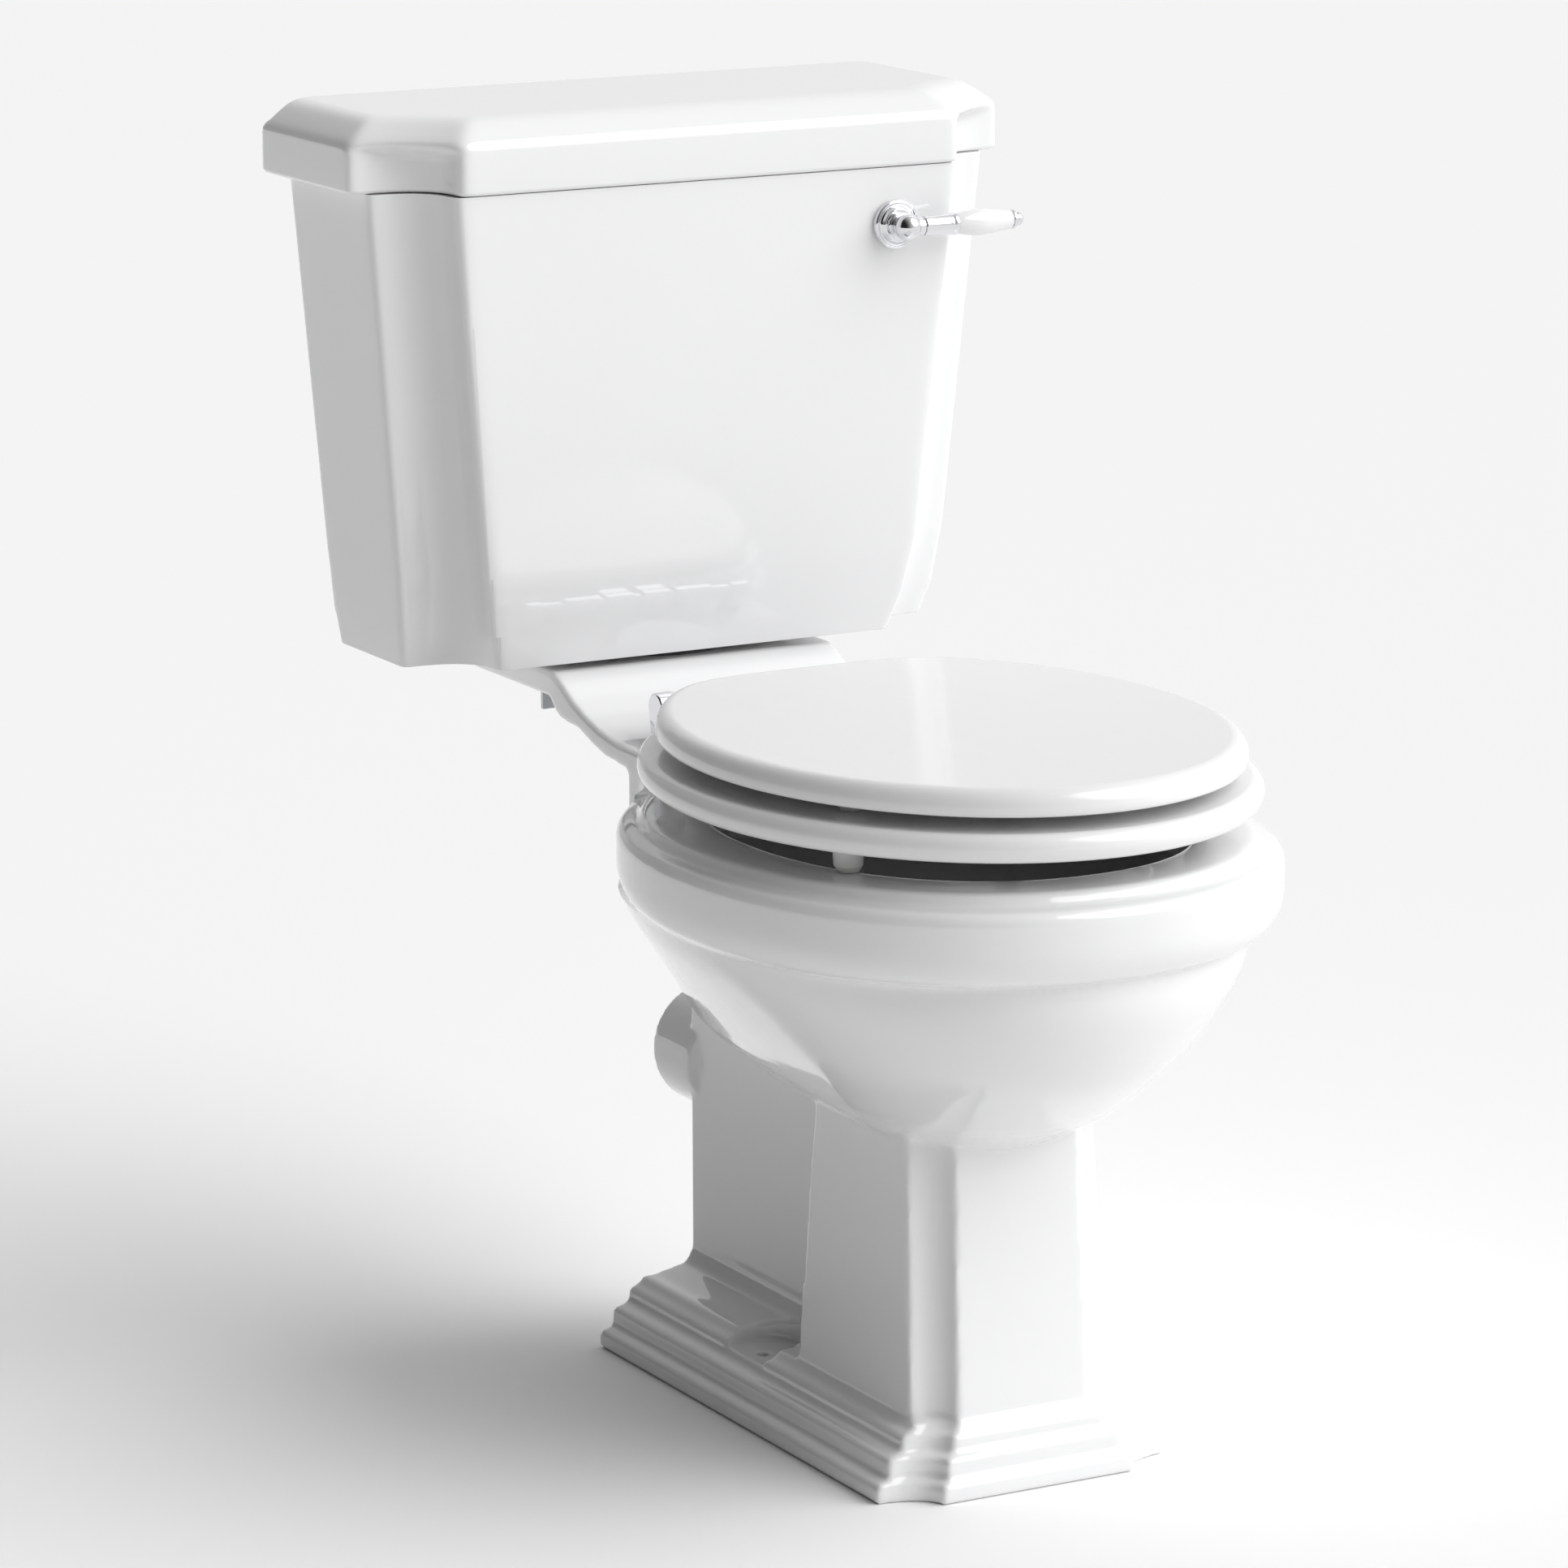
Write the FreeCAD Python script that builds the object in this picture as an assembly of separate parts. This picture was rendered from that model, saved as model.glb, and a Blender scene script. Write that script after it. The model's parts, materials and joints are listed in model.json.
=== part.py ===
import FreeCAD, Part
import math
import os

from FreeCAD import Vector

# Close coupled toilet: china pan and cistern, lever flush with siphon, side fed ball valve,
# and a wooden seat and lid on a chrome bar hinge. Millimetres, +Z up, front towards -Y.
# Everything is drawn with y = 0 at the finished wall and x = 0 on the centre line, then
# moved so that the origin is at the centre of the footprint on the floor.

# ---- driving dimensions ------------------------------------------------------------------

FIT_GAP = 0.3            # air between pieces of different moving bodies
RUN_GAP = 0.06           # radial running clearance of pins and shafts
HOLE_GAP = 1.0           # radial clearance of a bolt or tail in a china hole
PAST = 5.0               # how far a cutting shape runs past the face that it cuts

# heights of the pan, each above the one before
RIM_BOTTOM = 346.0
RIM_BAND_H = 49.0
RIM_STEP_H = 8.0
DECK_ABOVE_RIM = 12.0
SHELF_ABOVE_DECK = 31.0

# rim: an oval about a line across the pan
RIM_CENTRE_Y = -480.0
RIM_HALF_W = 196.0
RIM_REACH = 231.0
RIM_STEP_IN = 13.0
RIM_EDGE_R = 6.0
RIM_OPENING_IN = 58.0
RIM_LIP_DEPTH = 30.0
CHINA_WALL = 12.0
LIP_WALL = 20.0                      # china outside the hollow under the rim's lip

# bowl: depth below the rim, size as a share of the rim's, centre in front of the rim's
BOWL_LEVELS = ((0.0, 0.9362, 1.0), (21.0, 0.8520, 22.0), (46.0, 0.7449, 36.5),
               (71.0, 0.6352, 44.0), (96.0, 0.5204, 41.5), (114.0, 0.4337, 36.0),
               (141.0, 0.2551, 20.0))
BOWL_LENGTH_SHARE = 0.9868           # how much shorter the bowl is than its width suggests
SUMP_HALF_W = 44.0
SUMP_DEPTH = 186.0
SUMP_AHEAD = 20.0

# plinth and column
PLINTH_HALF_W = 104.2
PLINTH_REAR = -207.0
PLINTH_AHEAD = 121.6                 # its front ahead of the rim's centre
PLINTH_COVE = (35.0, 20.8)
PLINTH_COVE_LOSS = 0.35              # the coves shrink by this share up the mouldings
PLINTH_FRONT_SHARE = 0.57            # front mouldings step in by this share of the side ones
PLINTH_MOULDING = ((0.0, 0.0), (9.0, 0.0), (15.5, 8.0), (24.5, 12.0), (31.5, 20.5),
                   (40.0, 29.0), (45.0, 33.0))          # height, step in from the side
COLUMN_HALF_W = (71.0, 67.0)         # foot, top
COLUMN_FRONT_IN = (20.1, 32.1)       # behind the plinth's front
COLUMN_REAR_IN = (183.6, 164.6)
COLUMN_COVE = (23.0, 18.0)
HOLLOW_HALF_W = 34.0
HOLLOW_BELOW_SUMP = 40.0
WEB_INTO_COLUMN = 40.0
SKIRT_RISE = 8.0
SKIRT_INTO_COLUMN = 20.0
WEB_HOLLOW_BEHIND = 14.0             # behind the column's foot

# trap and outlet
TRAP_R = 25.0
TRAP_WALL = 9.6
WEIR_DEPTH = 100.0                   # below the rim
OUTLET_Z = 187.0
OUTLET_R = 41.0
OUTLET_BORE_R = 31.0
OUTLET_LENGTH = 43.0
OUTLET_ROOT = (5.0, 4.0)             # length and flare where the spigot leaves the web
TRAP_START = (6.0, 2.0)              # behind the sump's centre, above its floor
WEIR_BEHIND = 67.0                   # behind the column's top
FALL_AHEAD = (78.0, 8.0)             # in front of the plinth's rear, below the weir
TURN_AHEAD = 34.0                    # in front of the plinth's rear
MOUTH_INTO_WEB = 4.0

# rear shelf and hinge deck
SHELF_REAR = -30.0
SHELF_EDGE = 38.5                    # china outside the coupling bolts
SHELF_THICKNESS = 17.5
SHELF_UNDER_CISTERN = 5.5            # the slope starts this far inside the cistern's front
DECK_THICKNESS = 14.0
DECK_AHEAD = 20.0                    # in front of the hinge
DECK_BEHIND = 9.0
BRIDGE = (45.0, 22.0, 4.0)           # into the rim, below its ledge, lap under the deck
FLUSH_WAY_R = 22.0
FLUSH_DROP = (3.0, 24.0)             # round the tail, depth
FLUSH_START = (6.0, 30.0)            # in front of the tail, below the shelf's top
FLUSH_END = (60.0, 4.0)              # in front of the rim's rear, below its lip
NECK_WALL = 16.0
NECK_FOOT = (50.0, 20.0)             # half length, let into the web

# cistern and its lid
LID_HALF_W = 240.0
LID_DEPTH = 183.3
LID_COVE = (57.0, 47.0)
LID_EDGE_H = 30.1
LID_BEVEL = ((0.0, 0.0), (4.0, 7.0), (12.0, 14.0), (20.0, 18.0))      # step in, rise
LID_BACK_STEP = 4.0                  # the most that the bevel takes off the back
LID_SEAT_W = 30.0
CISTERN_HEIGHT = 315.2
CISTERN_ABOVE_SHELF = 5.4
BODY_BACK = -14.4
BODY_LEVELS = ((0.0, 44.3, 28.8, 50.0), (24.0, 39.7, 20.8, 47.0),
               (64.0, 35.2, 14.3, 44.0), (CISTERN_HEIGHT, 12.8, 2.8, 42.0))
# height above the bottom, in from the lid's side, in from the lid's front, width of the cove
BODY_COVE_DEPTH = 41.0
BODY_WALL = 9.0
BODY_FLOOR = 12.0
WALL_FIX_IN = 100.0                  # in from the lid's side
WALL_FIX_BELOW_TOP = 61.6
WALL_FIX_R = 4.0

# siphon
FLUSH_FORWARD = 5.55                 # in front of the middle of the cistern's depth
TAIL_R = 28.0
SIPHON_WALL = 4.0
BELL_R = 42.0
BELL_APART = 8.0                     # air between the bell and the down leg
BELL_LIFT = 14.0
BELL_NECK_H = 12.6
CROWN_BELOW_TOP = 111.6
FLANGE_OUT = 8.0
FLANGE_T = 4.0
PLATE_LIFT = 16.0
PLATE_GAP = 2.5
PLATE_T = 4.0
PORT_R = 6.5
PORT_CIRCLE_R = 20.0
PLUNGER_ROD_R = 3.5
EYE_BELOW_ARM = 18.0
BACKNUT_OUT = 7.0
BACKNUT_H = 9.5
DOUGHNUT_W = 10.0
RECESS_DEPTH = 8.0

# flush lever
LEVER_IN = 104.0                     # in from the lid's side
LEVER_BELOW_TOP = 38.1
LEVER_OUT = 18.24                    # the handle's axis in front of the cistern
ROSETTE_R = 16.5
ROSETTE_T = 5.0
ROSETTE_STEPS = ((0.0, 0.0), (1.5, 3.5), (3.0, 4.5), (5.0, 8.0))      # rise, step in
ROSETTE_SINK = 1.5                   # let into the tapered wall
SPINDLE_R = 5.0
BUSH_R = 8.0
BUSH_PAST_WALL = 14.0
BALL_R = 9.0
COLLAR_R = 7.0
STUB_R = 5.6
STUB_LENGTH = 11.0
SLEEVE = ((0, 6.6), (2, 7.2), (5, 6.2), (21, 6.8), (23, 7.6), (25, 6.9))
BARREL = ((0, 6.4), (3, 7.3), (10, 8.6), (16, 9.0), (24, 8.5), (34, 7.1), (42, 6.2))
FINIAL = ((0, 6.6), (2, 6.6), (3, 5.2), (5, 5.4), (7, 4.0), (9, 2.2))
# distance along the handle, radius
ARM_HALF_H = 4.5
ARM_HALF_T = 2.0
ARM_PAST_ROD = 12.0
BOSS_R = 10.0
BOSS_HALF_L = 6.0
LINK_WIRE_R = 1.5
LINK_ROOM = 3.0
LINK_PLAY = 0.6

# ball valve
VALVE_FROM_BACK = 30.6
VALVE_BELOW_TOP = 66.6
VALVE_THREAD_R = 10.45
VALVE_TAIL_OUT = 17.0
VALVE_BARREL_R = 13.0
VALVE_NUT_R = 16.0
VALVE_WASHER_R = 17.0
NOZZLE_R = 7.0
WATER_WAY_R = 5.5
SPOUT_R = 4.5
CHEEK_OFF = 7.0
CHEEK_HALF_T = 2.0
FLOAT_PIVOT_IN = 72.0                # in from the lid's side
FLOAT_PIVOT_BELOW = 13.0
FLOAT_PIN_R = 2.0
FLOAT_ROD_R = 3.0
FLOAT_DROOP = 18.0
FLOAT_R = 40.0
FLOAT_ROD_SCREWED = -24.0            # the rod's end, from the ball's centre
FLOAT_BESIDE = 13.2                  # air between the ball and the siphon's leg
FLOAT_BEHIND = 16.0                  # the ball's centre behind the siphon's

# washers and nuts
NUT_H = 6.0
RUBBER_T = 2.0
THICK_RUBBER_T = 3.0
STEEL_T = 1.2
SEAT_WASHER_R = 13.0
DRILL_DEPTH = 40.0                   # how deep the fixing holes in the shelf and deck are drilled
WALL_EASE = 0.6                      # room for the taper under a washer
WING = (14.0, 13.0, 1.5)             # length, height, half thickness
WING_HUB = (5.0, 9.0)                # wall, height

# seat and lid
SEAT_AHEAD = 9.0                     # its centre ahead of the rim's
RING_IN = 12.5                       # in from the rim's side
RING_FRONT_IN = 5.0
RING_REAR_OUT = 1.0
RING_LIFT = 19.0
RING_T = 18.0
RING_ROUND = 6.0
SEAT_REAR_IN = 42.0                  # its straight rear edge in front of the rim's rear
HOLE_IN = 75.5
HOLE_FRONT_IN = 67.0
HOLE_REAR_WOOD = 58.0
LID_INSET = 11.5
SEAT_LID_FRONT_INSET = 6.5
SEAT_LID_LIFT = 9.0
SEAT_LID_T = 17.0
SEAT_LID_ROUND = 11.0
SEAT_LID_LOW_ROUND = 2.5
BUFFER = ((0.0, 10.0), (4.0, 9.0), (0.0, 6.5))
BUFFER_TURNS = (-32.0, 40.0)
RING_BUFFER_SHARE = 0.80             # how far out the buffers stand
LID_BUFFER_SHARE = 0.78

# hinge
BAR_R = 7.5
HINGE_BEHIND_RIM = 5.0
HINGE_BELOW_RING_TOP = 1.0
STUD_X = 77.5
STUD_R = 4.0
STUD_IN_PILLAR = 8.0
STUD_BELOW_DECK = 30.0
SEAT_HOLE_GAP = 3.5
PILLAR_T = 13.0
PILLAR_WALL = 2.0
PILLAR_FOOT = 5.0
KNUCKLE_WALL = 3.0
RING_KNUCKLE_X = 42.0
RING_KNUCKLE_W = 26.0
LID_KNUCKLE_X = 14.0
LID_KNUCKLE_W = 20.0
LEAF_T = 2.4
LEAF_LENGTH = 44.0
LEAF_LAP = 3.0
LEAF_SCREWS = (12.0, 30.0)           # from the leaf's front end
LEAF_SCREW_R = 2.0
LEAF_SCREW_DEPTH = 11.0
ARM_DROP = 8.0                       # the arm meets the knuckle this far from the axis

# coupling bolts
COUPLING_APART = 21.0                # outside the doughnut
COUPLING_R = 4.0
COUPLING_WASHER_R = 11.0
COUPLING_HEAD = (7.5, 4.5)
COUPLING_BELOW = 26.0

# floor fixing
FLOOR_FIX_X = 68.0
FLOOR_FIX_BEHIND = 50.0              # behind the column's foot
FLOOR_FIX_R = 4.0
FLOOR_PAD_R = 27.0
FLOOR_PAD_Z = 34.0

# ---- values that follow from them ----------------------------------------------------------

RIM_LEDGE = RIM_BOTTOM + RIM_BAND_H
RIM_TOP = RIM_LEDGE + RIM_STEP_H
RIM_REAR = RIM_CENTRE_Y + RIM_REACH
OVERALL_DEPTH = RIM_REACH - RIM_CENTRE_Y
ROW_SHIFT = Vector(0, OVERALL_DEPTH / 2, 0)
DECK_TOP = RIM_TOP + DECK_ABOVE_RIM
DECK_BOTTOM = DECK_TOP - DECK_THICKNESS
SHELF_TOP = DECK_TOP + SHELF_ABOVE_DECK
SHELF_BOTTOM = SHELF_TOP - SHELF_THICKNESS
SUMP_FLOOR = RIM_BOTTOM - SUMP_DEPTH
SUMP_CENTRE_Y = RIM_CENTRE_Y - SUMP_AHEAD
WEIR_Z = RIM_BOTTOM - WEIR_DEPTH
WEB_HALF_W = TRAP_R + TRAP_WALL
WEB_TOP = RIM_BOTTOM - 1
OUTLET_END = PLINTH_REAR + OUTLET_LENGTH
PLINTH_FRONT = RIM_CENTRE_Y - PLINTH_AHEAD
COLUMN_TOP = RIM_BOTTOM - BOWL_LEVELS[-2][0]
COLUMN_FRONT = [PLINTH_FRONT + step for step in COLUMN_FRONT_IN]
COLUMN_REAR = [PLINTH_FRONT + step for step in COLUMN_REAR_IN]
FLOOR_FIX_Y = COLUMN_REAR[0] + FLOOR_FIX_BEHIND

BODY_BOTTOM = SHELF_TOP + CISTERN_ABOVE_SHELF
BODY_INNER_FLOOR = BODY_BOTTOM + BODY_FLOOR
BODY_TOP = BODY_BOTTOM + CISTERN_HEIGHT
LID_BOTTOM = BODY_TOP + FIT_GAP
LID_EDGE_TOP = LID_BOTTOM + LID_EDGE_H
LID_TOP = LID_EDGE_TOP + LID_BEVEL[-1][1]
BODY_FOOT_FRONT = -LID_DEPTH + BODY_LEVELS[0][2]
WALL_FIX_X = LID_HALF_W - WALL_FIX_IN
WALL_FIX_Z = BODY_TOP - WALL_FIX_BELOW_TOP

FLUSH_Y = (BODY_BACK - LID_DEPTH + BODY_LEVELS[1][2]) / 2 - FLUSH_FORWARD
CROWN_R = TAIL_R - SIPHON_WALL
BACKNUT_R = TAIL_R + BACKNUT_OUT
DOUGHNUT_R = BACKNUT_R + 1 + DOUGHNUT_W
SHELF_RECESS_Z = SHELF_TOP - RECESS_DEPTH
BELL_X = TAIL_R + BELL_R + BELL_APART
BELL_BOTTOM = BODY_INNER_FLOOR + BELL_LIFT
CROWN_Z = BODY_TOP - CROWN_BELOW_TOP
BELL_TOP = CROWN_Z - BELL_NECK_H
COUPLING_X = DOUGHNUT_R + COUPLING_APART

SHELF_HALF_W = COUPLING_X + SHELF_EDGE
SLOPE_START = BODY_FOOT_FRONT + SHELF_UNDER_CISTERN
HINGE_Y = RIM_REAR - HINGE_BEHIND_RIM
DECK_FRONT = HINGE_Y - DECK_AHEAD
SLOPE_RUN = SLOPE_START - HINGE_Y - DECK_BEHIND
NECK_TOP_Y = FLUSH_Y - FLUSH_WAY_R - 3
NECK_HALF_W = TAIL_R + NECK_WALL
NECK_HALF_L = NECK_HALF_W + 18

LEVER_X = LID_HALF_W - LEVER_IN
LEVER_Z = BODY_TOP - LEVER_BELOW_TOP
VALVE_Y = BODY_BACK - VALVE_FROM_BACK
VALVE_Z = BODY_TOP - VALVE_BELOW_TOP
FLOAT_PIVOT_X = LID_HALF_W - FLOAT_PIVOT_IN
FLOAT_Y = FLUSH_Y + FLOAT_BEHIND

RING_BOTTOM = RIM_TOP + RING_LIFT
RING_TOP = RING_BOTTOM + RING_T
SEAT_LID_BOTTOM = RING_TOP + SEAT_LID_LIFT
SEAT_CENTRE_Y = RIM_CENTRE_Y - SEAT_AHEAD
SEAT_REAR = RIM_REAR - SEAT_REAR_IN
RING_HALF_W = RIM_HALF_W - RING_IN
RING_FRONT_REACH = RIM_REACH - SEAT_AHEAD - RING_FRONT_IN
RING_REAR_REACH = RIM_REACH + RING_REAR_OUT
HOLE_HALF_W = RING_HALF_W - HOLE_IN
HOLE_FRONT_REACH = RING_FRONT_REACH - HOLE_FRONT_IN
HOLE_REAR_REACH = SEAT_REAR - HOLE_REAR_WOOD - SEAT_CENTRE_Y
HINGE_Z = RING_TOP - HINGE_BELOW_RING_TOP
PILLAR_R = BAR_R + PILLAR_WALL
KNUCKLE_R = BAR_R + KNUCKLE_WALL
X = Vector(1, 0, 0)
Y = Vector(0, 1, 0)
Z = Vector(0, 0, 1)


# ---- helpers ---------------------------------------------------------------------------------

def cylinder(radius, start, axis, length):
    """A cylinder from its start point along an axis."""
    return Part.makeCylinder(radius, length, start, axis)


def tube(outer, inner, start, axis, length):
    """A round tube from its start point along an axis."""
    return cylinder(outer, start, axis, length).cut(cylinder(inner, start, axis, length))


def block(low, high):
    """A box between two corners."""
    size = [b - a for a, b in zip(low, high)]
    return Part.makeBox(*size, Vector(*low))


def hexagon(across_corners_r, start, height):
    """A hexagonal prism standing up from its start point."""
    turns = [math.radians(60 * k) for k in range(7)]
    points = [start + Vector(across_corners_r * math.cos(t), across_corners_r * math.sin(t), 0)
              for t in turns]
    return Part.Face(Part.makePolygon(points)).extrude(Z * height)


def fuse(shapes):
    """One solid from several that touch or overlap."""
    whole = shapes[0].multiFuse(shapes[1:])
    return whole.removeSplitter()


def group(shapes):
    """Separate solids in one node."""
    return Part.makeCompound(shapes)


def half_oval(half_w, centre_y, reach, z, turns):
    """Part of half an ellipse; its turns run from 0 at the right to pi at the left."""
    centre = Vector(0, centre_y, z)
    along = Vector(0, centre_y + reach, z)
    if abs(reach) >= half_w:
        curve = Part.Ellipse(along, Vector(-half_w, centre_y, z), centre)
        turns = [turn - math.pi / 2 for turn in turns]
    else:
        curve = Part.Ellipse(Vector(half_w, centre_y, z), along, centre)
    return Part.ArcOfEllipse(curve, *turns).toShape()


def egg_wire(half_w, centre_y, front_reach, rear_reach, z, cut_y=None):
    """An oval of two half ellipses, cut off straight at the rear where cut_y is given."""
    edges = [half_oval(half_w, centre_y, -front_reach, z, (0, math.pi))]
    if cut_y is None:
        edges.append(half_oval(half_w, centre_y, rear_reach, z, (0, math.pi)))
    else:
        cut = math.asin((cut_y - centre_y) / rear_reach)
        x = half_w * math.cos(cut)
        edges.append(half_oval(half_w, centre_y, rear_reach, z, (0, cut)))
        edges.append(Part.LineSegment(Vector(x, cut_y, z), Vector(-x, cut_y, z)).toShape())
        edges.append(half_oval(half_w, centre_y, rear_reach, z, (math.pi - cut, math.pi)))
    return Part.Wire(Part.__sortEdges__(edges))


def egg_slab(half_w, centre_y, front_reach, rear_reach, z, thickness, cut_y=None):
    """An upright prism over an egg outline."""
    wire = egg_wire(half_w, centre_y, front_reach, rear_reach, z, cut_y)
    return Part.Face(wire).extrude(Z * thickness)


def coved_wire(half_w, back, front, cove, z):
    """A rectangle whose two front corners are scooped out by a concave arc."""
    cove_w, cove_d = cove
    depth = 0.68
    side_y, face_x = front + cove_d, half_w - cove_w
    scoop = (half_w - depth * cove_w, front + depth * cove_d)
    edges = [
        Part.LineSegment(Vector(-half_w, back, z), Vector(half_w, back, z)),
        Part.LineSegment(Vector(half_w, back, z), Vector(half_w, side_y, z)),
        Part.Arc(Vector(half_w, side_y, z), Vector(*scoop, z), Vector(face_x, front, z)),
        Part.LineSegment(Vector(face_x, front, z), Vector(-face_x, front, z)),
        Part.Arc(Vector(-face_x, front, z), Vector(-scoop[0], scoop[1], z),
                 Vector(-half_w, side_y, z)),
        Part.LineSegment(Vector(-half_w, side_y, z), Vector(-half_w, back, z)),
    ]
    return Part.Wire([edge.toShape() for edge in edges])


def loft(wires, ruled=True):
    """A solid through closed outlines."""
    return Part.makeLoft(wires, True, ruled)


def spun(profile, centre, axis):
    """A turned piece: profile is (distance along the axis, radius), closed on the axis."""
    points = [Vector(r, 0, a) for a, r in profile]
    points = [Vector(0, 0, profile[0][0])] + points + [Vector(0, 0, profile[-1][0])]
    clean = [p for k, p in enumerate(points) if k == 0 or (p - points[k - 1]).Length > 1e-6]
    face = Part.Face(Part.makePolygon(clean + [clean[0]]))
    solid = face.revolve(Vector(0, 0, 0), Z, 360)
    solid.Placement = FreeCAD.Placement(centre, FreeCAD.Rotation(Z, axis))
    return solid


def run_of_tube(points, radius):
    """Straight round runs between points, with a ball at each bend."""
    pieces = []
    for start, end in zip(points, points[1:]):
        pieces.append(cylinder(radius, start, end - start, (end - start).Length))
    pieces += [Part.makeSphere(radius, bend) for bend in points[1:-1]]
    return fuse(pieces) if len(pieces) > 1 else pieces[0]


def nut_along(across_corners_r, start, axis, bore_r):
    """A hexagonal nut from its start point along an axis."""
    nut = hexagon(across_corners_r, Vector(0, 0, 0), NUT_H)
    nut.Placement = FreeCAD.Placement(start, FreeCAD.Rotation(Z, axis))
    return nut.cut(cylinder(bore_r, start - axis, axis, NUT_H + 2))


def save(name, shape):
    """Write one node, moved to the row's frame."""
    placed = shape.copy()
    placed.translate(ROW_SHIFT)
    placed.exportStep(os.path.join("parts", name + ".step"))


# ---- pan ----------------------------------------------------------------------------------------

def plinth():
    """The moulded foot: stepped up the sides and front, flat at the back."""
    wires = []
    for height, step in PLINTH_MOULDING:
        front = PLINTH_FRONT + PLINTH_FRONT_SHARE * step
        share = 1 - PLINTH_COVE_LOSS * step / PLINTH_MOULDING[-1][1]
        cove = (PLINTH_COVE[0] * share, PLINTH_COVE[1] * share)
        wires.append(coved_wire(PLINTH_HALF_W - step, PLINTH_REAR, front, cove, height))
    return loft(wires)


def column():
    """The pillar under the bowl, tapering upwards."""
    foot_z = PLINTH_MOULDING[-2][0]
    levels = zip((foot_z, COLUMN_TOP), COLUMN_HALF_W, COLUMN_REAR, COLUMN_FRONT)
    return loft([coved_wire(half_w, rear, front, COLUMN_COVE, z)
                 for z, half_w, rear, front in levels])


def web():
    """The upright rear wall that holds the trap, with a sloped foot."""
    foot_z, step = PLINTH_MOULDING[-1]
    front = COLUMN_REAR[0] - WEB_INTO_COLUMN
    wall = block((-WEB_HALF_W, front, foot_z - PAST), (WEB_HALF_W, PLINTH_REAR, WEB_TOP))
    foot_x = PLINTH_HALF_W - step
    outline = [Vector(-foot_x, PLINTH_REAR, foot_z), Vector(-WEB_HALF_W, PLINTH_REAR, foot_z + SKIRT_RISE),
               Vector(WEB_HALF_W, PLINTH_REAR, foot_z + SKIRT_RISE), Vector(foot_x, PLINTH_REAR, foot_z)]
    skirt = Part.Face(Part.makePolygon(outline + [outline[0]]))
    return [wall, skirt.extrude(Vector(0, front + SKIRT_INTO_COLUMN - PLINTH_REAR, 0))]


def bowl_wire(level, inset, z=None):
    """The bowl's oval at one of its levels, drawn in by a wall where asked."""
    depth, share, ahead = level
    reach = RIM_REACH * BOWL_LENGTH_SHARE * share - inset
    height = RIM_BOTTOM - depth if z is None else z
    return egg_wire(RIM_HALF_W * share - inset, RIM_CENTRE_Y - ahead, reach, reach, height)


def rim_egg(inset, z, thickness):
    """A slab with the rim's outline, drawn in evenly."""
    return egg_slab(RIM_HALF_W - inset, RIM_CENTRE_Y, RIM_REACH - inset, RIM_REACH - inset, z,
                    thickness)


def rim_outer():
    """The upright band of the rim and the raised step on its top."""
    band = rim_egg(0, RIM_BOTTOM, RIM_LEDGE - RIM_BOTTOM)
    round_edges = [e for e in band.Edges if abs(e.BoundBox.ZLength) < 1e-3]
    band = band.makeFillet(RIM_EDGE_R, round_edges)
    step = rim_egg(RIM_STEP_IN, RIM_LEDGE - 1, RIM_TOP - RIM_LEDGE + 1)
    top_edges = [e for e in step.Edges if e.BoundBox.ZMin > RIM_TOP - 1e-3]
    return [band, step.makeFillet(RIM_EDGE_R / 2, top_edges)]


def shelf():
    """The rear shelf: level under the cistern, then sloping down to the hinge deck."""
    def under_slope(share, z):
        return Vector(0, SLOPE_START - share * SLOPE_RUN, z)

    top = [Vector(0, SHELF_REAR, SHELF_TOP), Vector(0, SLOPE_START, SHELF_TOP)]
    slope = Part.BSplineCurve()
    slope.interpolate([top[1], under_slope(0.281, SHELF_TOP - 0.46 * SHELF_ABOVE_DECK),
                       under_slope(0.688, SHELF_TOP - 0.86 * SHELF_ABOVE_DECK),
                       under_slope(1, DECK_TOP)])
    under = [Vector(0, DECK_FRONT, DECK_BOTTOM), under_slope(0.729, DECK_BOTTOM + 2),
             under_slope(0.521, DECK_TOP - 5), under_slope(0.365, DECK_TOP - 1),
             under_slope(0.125, DECK_TOP + 2), under_slope(-0.01, SHELF_BOTTOM),
             Vector(0, SHELF_REAR, SHELF_BOTTOM), top[0]]
    deck = [under_slope(1, DECK_TOP), Vector(0, DECK_FRONT, DECK_TOP), under[0]]
    edges = [Part.makePolygon(top).Edges[0], slope.toShape()]
    edges += Part.makePolygon(deck).Edges + Part.makePolygon(under).Edges
    face = Part.Face(Part.Wire(Part.__sortEdges__(edges)))
    face.translate(Vector(-SHELF_HALF_W, 0, 0))
    bridge = block((-SHELF_HALF_W, RIM_REAR - BRIDGE[0], RIM_LEDGE - BRIDGE[1]),
                   (SHELF_HALF_W, DECK_FRONT + BRIDGE[2], DECK_BOTTOM + 1))
    return [face.extrude(X * 2 * SHELF_HALF_W), bridge]


def neck():
    """The sloping neck that carries the flush water from the shelf to the rim."""
    top = egg_wire(NECK_HALF_W, NECK_TOP_Y, NECK_HALF_L, NECK_HALF_L, SHELF_BOTTOM + 1)
    half_l, sink = NECK_FOOT
    low = egg_wire(WEB_HALF_W, PLINTH_REAR - half_l, half_l, half_l, WEB_TOP - sink)
    return loft([low, top])


def outlet_spigot():
    """The spigot, flared where it leaves the web."""
    length, flare = OUTLET_ROOT
    return spun(((0, OUTLET_R + flare), (length, OUTLET_R), (OUTLET_LENGTH, OUTLET_R)),
                Vector(0, PLINTH_REAR, OUTLET_Z), Y)


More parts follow.
